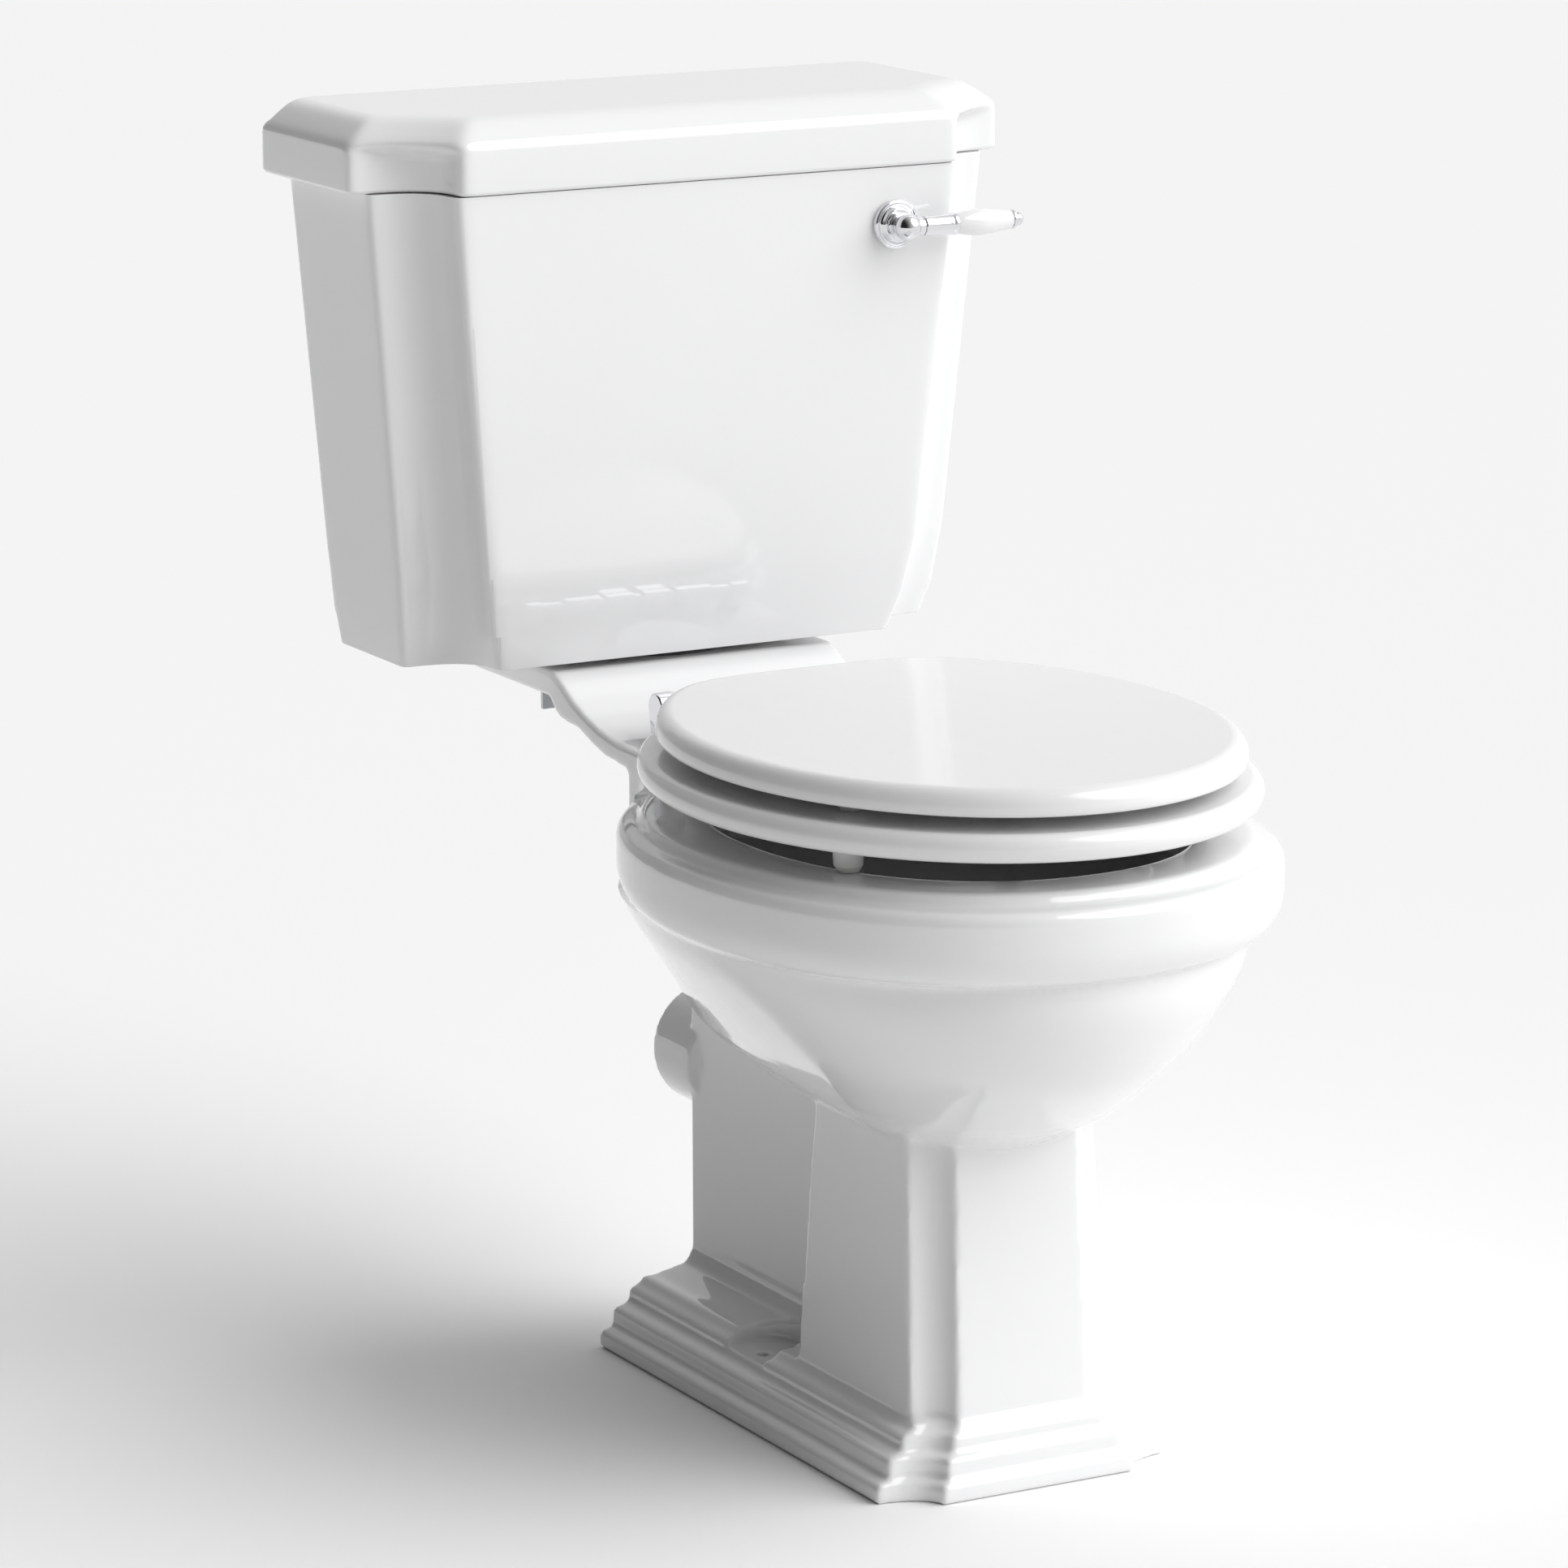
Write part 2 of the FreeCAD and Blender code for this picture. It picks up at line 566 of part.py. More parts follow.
def bowl_hollow():
    """The inside of the bowl: rim opening, flared bowl under the rim's lip, and sump."""
    lip_z = RIM_TOP - RIM_LIP_DEPTH
    opening = rim_egg(RIM_OPENING_IN, lip_z, RIM_LIP_DEPTH + PAST)
    under_lip = rim_egg(LIP_WALL, RIM_BOTTOM - 1, lip_z - RIM_BOTTOM + 2)
    wires = [bowl_wire(BOWL_LEVELS[k], CHINA_WALL) for k in (5, 4, 3, 2, 1)]
    wires.append(egg_wire(RIM_HALF_W - LIP_WALL, RIM_CENTRE_Y, RIM_REACH - LIP_WALL,
                          RIM_REACH - LIP_WALL, RIM_BOTTOM))
    sump_top = bowl_wire(BOWL_LEVELS[5], CHINA_WALL, RIM_BOTTOM - BOWL_LEVELS[5][0] + 0.5)
    sump = loft([egg_wire(SUMP_HALF_W, SUMP_CENTRE_Y, SUMP_HALF_W, SUMP_HALF_W, SUMP_FLOOR), sump_top])
    return [opening, under_lip, loft(wires), sump]


def trap_way():
    """The passage from the sump over the weir and out through the spigot."""
    start = Vector(0, SUMP_CENTRE_Y + TRAP_START[0], SUMP_FLOOR + TRAP_R + TRAP_START[1])
    weir = Vector(0, COLUMN_REAR[1] + WEIR_BEHIND, WEIR_Z)
    fall = Vector(0, PLINTH_REAR - FALL_AHEAD[0], WEIR_Z - FALL_AHEAD[1])
    turn = Vector(0, PLINTH_REAR - TURN_AHEAD, OUTLET_Z)
    path = run_of_tube([start, weir, fall, turn, Vector(0, OUTLET_END + 1, OUTLET_Z)], TRAP_R)
    mouth = cylinder(OUTLET_BORE_R, Vector(0, PLINTH_REAR - MOUTH_INTO_WEB, OUTLET_Z), Y,
                     OUTLET_LENGTH + PAST)
    return [path, mouth]


def flush_way():
    """The passage from the cistern's seat on the shelf to the back of the bowl."""
    recess = cylinder(DOUGHNUT_R + 1, Vector(0, FLUSH_Y, SHELF_RECESS_Z), Z, RECESS_DEPTH + 1)
    room, depth = FLUSH_DROP
    drop = cylinder(TAIL_R + room, Vector(0, FLUSH_Y, SHELF_TOP - depth), Z, depth)
    start = Vector(0, FLUSH_Y - FLUSH_START[0], SHELF_TOP - FLUSH_START[1])
    end = Vector(0, RIM_REAR - FLUSH_END[0], RIM_TOP - RIM_LIP_DEPTH - FLUSH_END[1])
    slope = cylinder(FLUSH_WAY_R, start, end - start, (end - start).Length)
    return [recess, drop, slope, Part.makeSphere(FLUSH_WAY_R, start)]


def pan_hollows():
    """The two hollows in the foot and the holes for the fixings."""
    centre_y = (COLUMN_FRONT[0] + COLUMN_REAR[0]) / 2
    hollow_z = SUMP_FLOOR - HOLLOW_BELOW_SUMP
    hollows = [block((-HOLLOW_HALF_W, centre_y - HOLLOW_HALF_W, -1),
                     (HOLLOW_HALF_W, centre_y + HOLLOW_HALF_W, hollow_z)),
               block((-WEB_HALF_W + CHINA_WALL, COLUMN_REAR[0] + WEB_HOLLOW_BEHIND, -1),
                     (WEB_HALF_W - CHINA_WALL, PLINTH_REAR - CHINA_WALL, hollow_z))]
    for side in (-1, 1):
        x = side * FLOOR_FIX_X
        hollows.append(cylinder(FLOOR_FIX_R, Vector(x, FLOOR_FIX_Y, -1), Z, FLOOR_PAD_Z + 2))
        hollows.append(cylinder(FLOOR_PAD_R, Vector(x, FLOOR_FIX_Y, FLOOR_PAD_Z), Z, 30))
        stud = Vector(side * STUD_X, HINGE_Y, DECK_TOP - DRILL_DEPTH)
        hollows.append(cylinder(STUD_R + SEAT_HOLE_GAP, stud, Z, DRILL_DEPTH + PAST))
        bolt = Vector(side * COUPLING_X, FLUSH_Y, SHELF_TOP - DRILL_DEPTH)
        hollows.append(cylinder(COUPLING_R + HOLE_GAP, bolt, Z, DRILL_DEPTH + PAST))
    return hollows


def pan():
    """The whole china pan: outer skin less its hollows and holes."""
    bowl = loft([bowl_wire(level, 0) for level in BOWL_LEVELS[::-1]])
    outer = fuse([plinth(), column(), *web(), bowl, *rim_outer(), *shelf(), neck(), outlet_spigot()])
    return outer.cut(bowl_hollow() + trap_way() + flush_way() + pan_hollows())


# ---- cistern ------------------------------------------------------------------------------------

def body_wires(inset, low, high):
    """Coved outlines of the cistern between two heights, drawn in by a wall where asked."""
    wires = []
    heights = [low] + [BODY_BOTTOM + level[0] for level in BODY_LEVELS
                       if low + 1 < BODY_BOTTOM + level[0] < high - 1] + [high]
    for z in heights:
        half_w, front, cove_w = body_section(z)
        cove = (cove_w, BODY_COVE_DEPTH)
        wires.append(coved_wire(half_w - inset, BODY_BACK - inset, front + inset, cove, z))
    return wires


def body_section(z):
    """Half width, front and cove width of the cistern at a height."""
    height = z - BODY_BOTTOM
    pairs = list(zip(BODY_LEVELS, BODY_LEVELS[1:]))
    lower, upper = next((p for p in pairs if height <= p[1][0]), pairs[-1])
    share = (height - lower[0]) / (upper[0] - lower[0])
    side_in, front_in, cove_w = [a + share * (b - a) for a, b in zip(lower[1:], upper[1:])]
    return LID_HALF_W - side_in, -LID_DEPTH + front_in, cove_w


def cistern_body():
    """The china box: tapered, cove cut at the front corners, open at the top."""
    outer = loft(body_wires(0, BODY_BOTTOM, BODY_TOP))
    inner = loft(body_wires(BODY_WALL, BODY_INNER_FLOOR, BODY_TOP + PAST))
    side = body_section(VALVE_Z)[0]
    under = BODY_BOTTOM - 1
    holes = [inner,
             cylinder(TAIL_R + HOLE_GAP, Vector(0, FLUSH_Y, under), Z, BODY_FLOOR + 2),
             cylinder(BUSH_R + HOLE_GAP / 2, Vector(LEVER_X, lever_axis_y(), LEVER_Z), Y, 60),
             cylinder(VALVE_THREAD_R + HOLE_GAP, Vector(side - 30, VALVE_Y, VALVE_Z), X, 60)]
    for end in (-1, 1):
        holes.append(cylinder(WALL_FIX_R, Vector(end * WALL_FIX_X, BODY_BACK - 20, WALL_FIX_Z), Y, 30))
        holes.append(cylinder(COUPLING_R + HOLE_GAP, Vector(end * COUPLING_X, FLUSH_Y, under), Z,
                              BODY_FLOOR + 2))
    return outer.cut(holes)


def lid_wire(inset, z):
    """The cistern lid's outline; its back stays flat against the wall line."""
    cove = (LID_COVE[0] - 0.3 * inset, LID_COVE[1] - 0.3 * inset)
    return coved_wire(LID_HALF_W - inset, -min(inset, LID_BACK_STEP), -LID_DEPTH + inset, cove, z)


def cistern_lid():
    """The loose china lid, hollow below, with a soft bevel round its top."""
    wires = [lid_wire(0, LID_BOTTOM)] + [lid_wire(inset, LID_EDGE_TOP + rise) for inset, rise in LID_BEVEL]
    hollow = coved_wire(LID_HALF_W - LID_SEAT_W, BODY_BACK - CHINA_WALL, -LID_DEPTH + LID_SEAT_W / 2,
                        LID_COVE, LID_BOTTOM - 1)
    depth = LID_TOP - LID_BOTTOM - CHINA_WALL
    return loft(wires).cut(Part.Face(hollow).extrude(Z * depth))


def front_wall_near(x, z, reach):
    """The piece of the tapered front wall round a fitting."""
    low, high = z - reach, z + reach
    faces = [(body_section(level)[1], level) for level in (low, high)]
    points = [Vector(x - reach, faces[0][0], low), Vector(x - reach, faces[1][0], high),
              Vector(x - reach, faces[1][0] + BODY_WALL, high),
              Vector(x - reach, faces[0][0] + BODY_WALL, low)]
    return Part.Face(Part.makePolygon(points + [points[0]])).extrude(X * 2 * reach)


def side_wall_near(y, z, reach):
    """The piece of the tapered side wall round a fitting."""
    low, high = z - reach, z + reach
    faces = [(body_section(level)[0], level) for level in (low, high)]
    points = [Vector(faces[0][0], y - reach, low), Vector(faces[1][0], y - reach, high),
              Vector(faces[1][0] - BODY_WALL, y - reach, high),
              Vector(faces[0][0] - BODY_WALL, y - reach, low)]
    return Part.Face(Part.makePolygon(points + [points[0]])).extrude(Y * 2 * reach)


# ---- flush lever ----------------------------------------------------------------------------------

def wall_front():
    """The y of the cistern's front face at the lever."""
    return body_section(LEVER_Z)[1]


def lever_axis_y():
    """The y of the handle's axis."""
    return wall_front() - LEVER_OUT


def lever_rosette():
    """Stepped chrome rosette with a threaded bush through the wall."""
    face = wall_front()
    centre = Vector(LEVER_X, face + ROSETTE_SINK, LEVER_Z)
    seat = front_wall_near(LEVER_X, LEVER_Z, ROSETTE_R + 4)
    steps = [(0, ROSETTE_R)] + [(ROSETTE_T + rise, ROSETTE_R - step) for rise, step in ROSETTE_STEPS]
    disc = spun(steps, centre, -Y)
    bush = cylinder(BUSH_R, centre - Y * 3, Y, BODY_WALL + BUSH_PAST_WALL + 3)
    bore = cylinder(SPINDLE_R + RUN_GAP, Vector(LEVER_X, face - 40, LEVER_Z), Y, 90)
    return fuse([disc.cut(seat), bush]).cut(bore)


def lever_nut_and_washer():
    """The washer and backnut inside the cistern wall."""
    inside = wall_front() + BODY_WALL + WALL_EASE
    radius = ROSETTE_R - 2
    washer = tube(radius, BUSH_R, Vector(LEVER_X, inside - 1.6, LEVER_Z), Y, RUBBER_T + 1.6)
    nut = nut_along(radius, Vector(LEVER_X, inside + RUBBER_T, LEVER_Z), Y, BUSH_R)
    return washer.cut(front_wall_near(LEVER_X, LEVER_Z, ROSETTE_R + 4)), nut


def lever_outside():
    """Hub, sleeve, ceramic barrel and finial, strung along the handle's axis."""
    hub_centre = Vector(LEVER_X, lever_axis_y(), LEVER_Z)
    rosette_front = wall_front() + ROSETTE_SINK - ROSETTE_T - ROSETTE_STEPS[-1][0]
    collar = cylinder(COLLAR_R, hub_centre, Y, rosette_front - FIT_GAP - hub_centre.y)
    stub = cylinder(STUB_R, hub_centre, X, STUB_LENGTH)
    socket = cylinder(SPINDLE_R, hub_centre, Y, 40)
    ball = spun([(BALL_R * math.sin(math.radians(t)), BALL_R * math.cos(math.radians(t)))
                 for t in range(-90, 91, 15)], hub_centre, Y)
    made = [fuse([ball, collar, stub]).cut(socket)]
    start = hub_centre + X * STUB_LENGTH
    for profile in (SLEEVE, BARREL, FINIAL):
        made.append(spun(profile, start, X))
        start += X * profile[-1][0]
    return made


def lever_inside():
    """The spindle through the bush, the crank on its end and the crank's screw."""
    axis_y = lever_axis_y()
    spindle = cylinder(SPINDLE_R, Vector(LEVER_X, axis_y, LEVER_Z), Y,
                       FLUSH_Y + ARM_HALF_T + 8 - axis_y)
    boss = cylinder(BOSS_R, Vector(LEVER_X, FLUSH_Y - BOSS_HALF_L, LEVER_Z), Y, 2 * BOSS_HALF_L)
    bar = block((BELL_X - ARM_PAST_ROD, FLUSH_Y - ARM_HALF_T, LEVER_Z - ARM_HALF_H),
                (LEVER_X, FLUSH_Y + ARM_HALF_T, LEVER_Z + ARM_HALF_H))
    seat = cylinder(SPINDLE_R, Vector(LEVER_X, FLUSH_Y - 20, LEVER_Z), Y, 40)
    tap = cylinder(LEAF_SCREW_R, Vector(LEVER_X, FLUSH_Y, LEVER_Z), Z, 2 * BOSS_R)
    screw = cylinder(LEAF_SCREW_R, Vector(LEVER_X, FLUSH_Y, LEVER_Z + SPINDLE_R), Z,
                     BOSS_R - SPINDLE_R + 4)
    return spindle, fuse([boss, bar]).cut([seat, tap]), screw


# ---- siphon -----------------------------------------------------------------------------------------

def siphon_body():
    """Bell, crown and down leg of the flush siphon, with its threaded tail."""
    leg_top = Vector(0, FLUSH_Y, CROWN_Z)
    bell_top = Vector(BELL_X, FLUSH_Y, CROWN_Z)
    crown = [leg_top - Z * 2, leg_top, bell_top, bell_top - Z * 2]
    tail_low = SHELF_RECESS_Z - 4
    bell_h = BELL_TOP - BELL_BOTTOM
    outer = [cylinder(TAIL_R, Vector(0, FLUSH_Y, tail_low), Z, CROWN_Z - tail_low),
             cylinder(BELL_R, Vector(BELL_X, FLUSH_Y, BELL_BOTTOM), Z, bell_h),
             cylinder(CROWN_R, Vector(BELL_X, FLUSH_Y, BELL_TOP), Z, BELL_NECK_H),
             run_of_tube(crown, CROWN_R),
             Part.makeSphere(TAIL_R, leg_top),
             cylinder(TAIL_R + FLANGE_OUT, Vector(0, FLUSH_Y, BODY_INNER_FLOOR + RUBBER_T), Z, FLANGE_T)]
    tail_bore_r = TAIL_R - SIPHON_WALL
    crown_bore_r = CROWN_R - SIPHON_WALL
    hollow = [cylinder(tail_bore_r, Vector(0, FLUSH_Y, tail_low - 1), Z, CROWN_Z - tail_low),
              cylinder(BELL_R - SIPHON_WALL, Vector(BELL_X, FLUSH_Y, BELL_BOTTOM - 1), Z,
                       bell_h - SIPHON_WALL + 1),
              cylinder(crown_bore_r, Vector(BELL_X, FLUSH_Y, BELL_TOP - 10), Z, BELL_NECK_H + 10),
              run_of_tube(crown, crown_bore_r),
              Part.makeSphere(tail_bore_r - 0.5, leg_top),
              cylinder(PLUNGER_ROD_R + HOLE_GAP, bell_top, Z, 2 * TAIL_R)]
    return fuse(outer).cut(hollow)


def siphon_tail_rings():
    """Rubber washer inside the cistern, backnut below it, and the foam doughnut round the nut."""
    washer = tube(TAIL_R + FLANGE_OUT, TAIL_R, Vector(0, FLUSH_Y, BODY_INNER_FLOOR), Z, RUBBER_T)
    nut = hexagon(BACKNUT_R, Vector(0, FLUSH_Y, BODY_BOTTOM - BACKNUT_H), BACKNUT_H)
    nut = nut.cut(cylinder(TAIL_R, Vector(0, FLUSH_Y, BODY_BOTTOM - 30), Z, 40))
    doughnut = tube(DOUGHNUT_R, DOUGHNUT_R - DOUGHNUT_W, Vector(0, FLUSH_Y, SHELF_RECESS_Z), Z,
                    BODY_BOTTOM - SHELF_RECESS_Z)
    return washer, nut, doughnut


def siphon_moving():
    """Plunger rod with its plate, the diaphragm on the plate, and the link up to the lever."""
    inside_r = BELL_R - SIPHON_WALL
    plate_z = BELL_BOTTOM + PLATE_LIFT
    centre = Vector(BELL_X, FLUSH_Y, plate_z)
    plate = cylinder(inside_r - PLATE_GAP, centre, Z, PLATE_T)
    turns = [math.radians(60 * k) for k in range(6)]
    ports = [cylinder(PORT_R, centre + Vector(math.cos(t), math.sin(t), 0) * PORT_CIRCLE_R - Z, Z,
                      PLATE_T + 2) for t in turns]
    eye_z = LEVER_Z - ARM_HALF_H - EYE_BELOW_ARM
    rod = cylinder(PLUNGER_ROD_R, centre, Z, eye_z + 4 - plate_z)
    eye = cylinder(LINK_WIRE_R, Vector(BELL_X, FLUSH_Y - 20, eye_z), Y, 40)
    plunger = fuse([plate.cut(ports), rod]).cut(eye)
    flap = tube(inside_r - 1.2, PLUNGER_ROD_R, centre + Z * PLATE_T, Z, 1)
    leg = Y * (ARM_HALF_T + LINK_WIRE_R + LINK_ROOM)
    low = Vector(BELL_X, FLUSH_Y, eye_z)
    high = Vector(BELL_X, FLUSH_Y, LEVER_Z + ARM_HALF_H + LINK_WIRE_R + LINK_PLAY)
    corners = [low - leg, high - leg, high + leg, low + leg, low - leg]
    link = fuse([run_of_tube(corners, LINK_WIRE_R), Part.makeSphere(LINK_WIRE_R, corners[0])])
    return plunger, flap, link


# ---- ball valve -------------------------------------------------------------------------------------

def valve_pieces():
    """Side fed brass valve, its backnuts and washers, float arm, pin and ball."""
    wall = body_section(VALVE_Z)[0]
    inner = wall - BODY_WALL
    at = Vector(0, VALVE_Y, VALVE_Z)
    root = at + X * (FLOAT_PIVOT_X + 16)
    tail = cylinder(VALVE_THREAD_R, root, X, wall + VALVE_TAIL_OUT - root.x)
    barrel = cylinder(VALVE_BARREL_R, root - X * 8, X, 16)
    cheeks = [block((FLOAT_PIVOT_X - 9, VALVE_Y + s * CHEEK_OFF - CHEEK_HALF_T, VALVE_Z - 20),
                    (FLOAT_PIVOT_X + 10, VALVE_Y + s * CHEEK_OFF + CHEEK_HALF_T, VALVE_Z + 8))
              for s in (-1, 1)]
    nozzle = cylinder(NOZZLE_R, root - X * 3 - Z * 34, Z, 34)
    water_way = cylinder(WATER_WAY_R, root - X * 4, X, 80)
    relief = tube(VALVE_THREAD_R + 1, VALVE_THREAD_R - 1, at + X * (wall + RUBBER_T + NUT_H), X, 1.0)
    pivot = at + X * FLOAT_PIVOT_X - Z * FLOAT_PIVOT_BELOW
    pin_hole = cylinder(FLOAT_PIN_R, pivot - Y * 30, Y, 60)
    spout = cylinder(SPOUT_R, root - X * 3 - Z * 40, Z, 38)
    body = fuse([tail, barrel, nozzle, *cheeks]).cut([water_way, pin_hole, spout, relief])
    seat = side_wall_near(VALVE_Y, VALVE_Z, VALVE_WASHER_R + 7)
    washers = [tube(VALVE_WASHER_R, VALVE_THREAD_R, at + X * start, X, RUBBER_T + 1.6).cut(seat)
               for start in (inner - RUBBER_T, wall - 1.6)]
    nuts = [nut_along(VALVE_NUT_R, at + X * start, X, VALVE_THREAD_R)
            for start in (inner - RUBBER_T - NUT_H, wall + RUBBER_T)]
    pin = cylinder(FLOAT_PIN_R, pivot - Y * 10, Y, 20)
    return body, group(washers), group(nuts), pin, pivot


def float_pieces(pivot):
    """The float's arm, cranked forward to the ball, and the ball, hanging at the low stop."""
    droop = math.radians(FLOAT_DROOP)
    along = Vector(-math.cos(droop), 0, -math.sin(droop))
    reach = (FLOAT_PIVOT_X + TAIL_R + FLOAT_BESIDE + FLOAT_R) / math.cos(droop)
    ball = pivot + along * reach
    bend = pivot + along * (reach - FLOAT_R - 14)
    ball.y = FLOAT_Y
    step = bend + along * 12
    step.y = FLOAT_Y
    knuckle_w = 2 * (CHEEK_OFF - CHEEK_HALF_T) - 1
    knuckle = cylinder(2 * FLOAT_ROD_R, pivot - Y * knuckle_w / 2, Y, knuckle_w)
    rod_end = ball + along * FLOAT_ROD_SCREWED
    rod = run_of_tube([pivot, bend, step, rod_end], FLOAT_ROD_R)
    pin_hole = cylinder(FLOAT_PIN_R + RUN_GAP, pivot - Y * 10, Y, 20)
    return fuse([knuckle, rod]).cut(pin_hole), Part.makeSphere(FLOAT_R, ball).cut(rod)


# ---- seat -------------------------------------------------------------------------------------------

def seat_slab(side_in, front_in, z, thickness, cut_y):
    """A slab with the ring's outline, drawn in."""
    return egg_slab(RING_HALF_W - side_in, SEAT_CENTRE_Y, RING_FRONT_REACH - front_in,
                    RING_REAR_REACH - side_in, z, thickness, cut_y)


def seat_ring():
    """The painted wooden ring, rounded inside and out."""
    slab = seat_slab(0, 0, RING_BOTTOM, RING_T, SEAT_REAR)
    hole = egg_slab(HOLE_HALF_W, SEAT_CENTRE_Y, HOLE_FRONT_REACH, HOLE_REAR_REACH,
                    RING_BOTTOM - 1, RING_T + 2)
    ring = slab.cut(hole)
    edges = [e for e in ring.Edges if e.BoundBox.ZLength < 1e-3]
    return ring.makeFillet(RING_ROUND, edges)


def seat_lid():
    """The painted wooden lid: well rounded above, softly below."""
    slab = seat_slab(LID_INSET, SEAT_LID_FRONT_INSET, SEAT_LID_BOTTOM, SEAT_LID_T, SEAT_REAR)
    flat = [e for e in slab.Edges if e.BoundBox.ZLength < 1e-3]
    top = [e for e in flat if e.BoundBox.ZMin > SEAT_LID_BOTTOM + 1]
    rounded = slab.makeFillet(SEAT_LID_ROUND, top)
    low = [e for e in rounded.Edges if e.BoundBox.ZMax < SEAT_LID_BOTTOM + 1e-3]
    return rounded.makeFillet(SEAT_LID_LOW_ROUND, low)


def buffer_spots(share):
    """Left front and rear buffer places, between the hole and the outer edge."""
    spots = []
    for turn in BUFFER_TURNS:
        t = math.radians(turn)
        reach = RING_FRONT_REACH if turn < 0 else RING_REAR_REACH
        spots.append((-share * RING_HALF_W * math.cos(t), SEAT_CENTRE_Y + share * reach * math.sin(t)))
    return spots


def buffers(share, top, bottom):
    """Four rubber buffers on the underside of the ring or the lid."""
    height = top - bottom
    (_, root_r), (nose_h, nose_r), (_, tip_r) = BUFFER
    made = []
    for x, y in buffer_spots(share):
        for side in (-1, 1):
            profile = ((0, root_r), (height - nose_h, nose_r), (height, tip_r))
            made.append(spun(profile, Vector(side * x, y, top), -Z))
    return group(made)


def hinge_point(dy, dz):
    """A point in the middle plane, from the hinge's axis."""
    return Vector(0, HINGE_Y + dy, HINGE_Z + dz)


def bracket(x, width, leaf_top, arm_z, bore_r):
    """A hinge flange: knuckle round the bar and a leaf under the wood."""
    low_x = x - width / 2
    knuckle = cylinder(KNUCKLE_R, Vector(low_x, HINGE_Y, HINGE_Z), X, width)
    leaf_low = leaf_top - LEAF_T
    rear = SEAT_REAR + LEAF_LAP
    leaf = block((low_x, rear - LEAF_LENGTH, leaf_low), (low_x + width, rear + LEAF_LAP, leaf_top))
    near = [Vector(low_x, HINGE_Y - 3, HINGE_Z + arm_z - LEAF_T), Vector(low_x, rear, leaf_low),
            Vector(low_x, rear, leaf_top), Vector(low_x, HINGE_Y - 3, HINGE_Z + arm_z + LEAF_T)]
    arm = Part.Face(Part.makePolygon(near + [near[0]])).extrude(X * width)
    holes = [cylinder(bore_r, Vector(low_x - 1, HINGE_Y, HINGE_Z), X, width + 2)]
    holes += [cylinder(LEAF_SCREW_R, Vector(x, y, leaf_low - PAST), Z, 20) for y in leaf_screw_rows()]
    return fuse([knuckle, leaf, arm]).cut(holes)


def leaf_screw_rows():
    """The y of the two screws in a leaf."""
    return [SEAT_REAR - LEAF_LENGTH + along for along in LEAF_SCREWS]


def leaf_screws(x, leaf_top):
    """Two round head screws up through a leaf into the wood."""
    screws = []
    low = leaf_top - LEAF_T
    for y in leaf_screw_rows():
        head = spun(((0, 4.0), (0.9, 3.6), (1.6, 2.2)), Vector(x, y, low), -Z)
        shank = cylinder(LEAF_SCREW_R, Vector(x, y, low - 0.5), Z, LEAF_T + LEAF_SCREW_DEPTH)
        screws.append(fuse([head, shank]))
    return screws


def screw_pilots(x, leaf_top):
    """The holes that the screws need in the wood."""
    return [cylinder(LEAF_SCREW_R, Vector(x, y, leaf_top - 8), Z, 8 + LEAF_SCREW_DEPTH)
            for y in leaf_screw_rows()]


def hinge_pillar(side):
    """A tear drop pillar with its blind bore for the bar."""
    foot = HINGE_Z - DECK_TOP
    tangent = math.acos((PILLAR_R - PILLAR_FOOT) / foot)
    face_x = side * STUD_X - PILLAR_T / 2
    upper = [hinge_point(PILLAR_R * math.sin(t), -PILLAR_R * math.cos(t))
             for t in (tangent, math.pi, -tangent)]
    low = [hinge_point(-PILLAR_FOOT, -foot), hinge_point(PILLAR_FOOT, -foot)]
    edges = [Part.Arc(upper[0], upper[1], upper[2]).toShape()]
    edges += Part.makePolygon([upper[2], low[0], low[1], upper[0]]).Edges
    face = Part.Face(Part.Wire(Part.__sortEdges__(edges)))
    face.translate(Vector(face_x, 0, 0))
    half = STUD_X + FIT_GAP
    bore = cylinder(BAR_R + RUN_GAP, Vector(-half, HINGE_Y, HINGE_Z), X, 2 * half)
    tap = cylinder(STUD_R, Vector(side * STUD_X, HINGE_Y, DECK_TOP - 1), Z, STUD_IN_PILLAR + 1)
    return face.extrude(X * PILLAR_T).cut([bore, tap])


def wing_nut(x, y, top, bore_r):
    """A wing nut hanging below a washer."""
    wall, height = WING_HUB
    length, wing_h, half_t = WING
    hub = cylinder(bore_r + wall, Vector(x, y, top - height), Z, height)
    wings = []
    for start in (x - bore_r - length, x + bore_r):
        wings.append(block((start, y - half_t, top - 2 - wing_h), (start + length, y + half_t, top - 2)))
    bore = cylinder(bore_r, Vector(x, y, top - 40), Z, 60)
    return fuse([hub, *wings]).cut(bore)


def seat_fixings():
    """Studs through the hinge deck, washers and wing nuts below it."""
    washer_z = DECK_BOTTOM - THICK_RUBBER_T
    foot_z = DECK_BOTTOM - STUD_BELOW_DECK
    studs, washers, nuts = [], [], []
    for side in (-1, 1):
        x = side * STUD_X
        studs.append(cylinder(STUD_R, Vector(x, HINGE_Y, foot_z), Z, DECK_TOP + STUD_IN_PILLAR - foot_z))
        washers.append(tube(SEAT_WASHER_R, STUD_R, Vector(x, HINGE_Y, washer_z), Z, THICK_RUBBER_T))
        nuts.append(wing_nut(x, HINGE_Y, washer_z, STUD_R))
    return group(studs), group(washers), group(nuts)


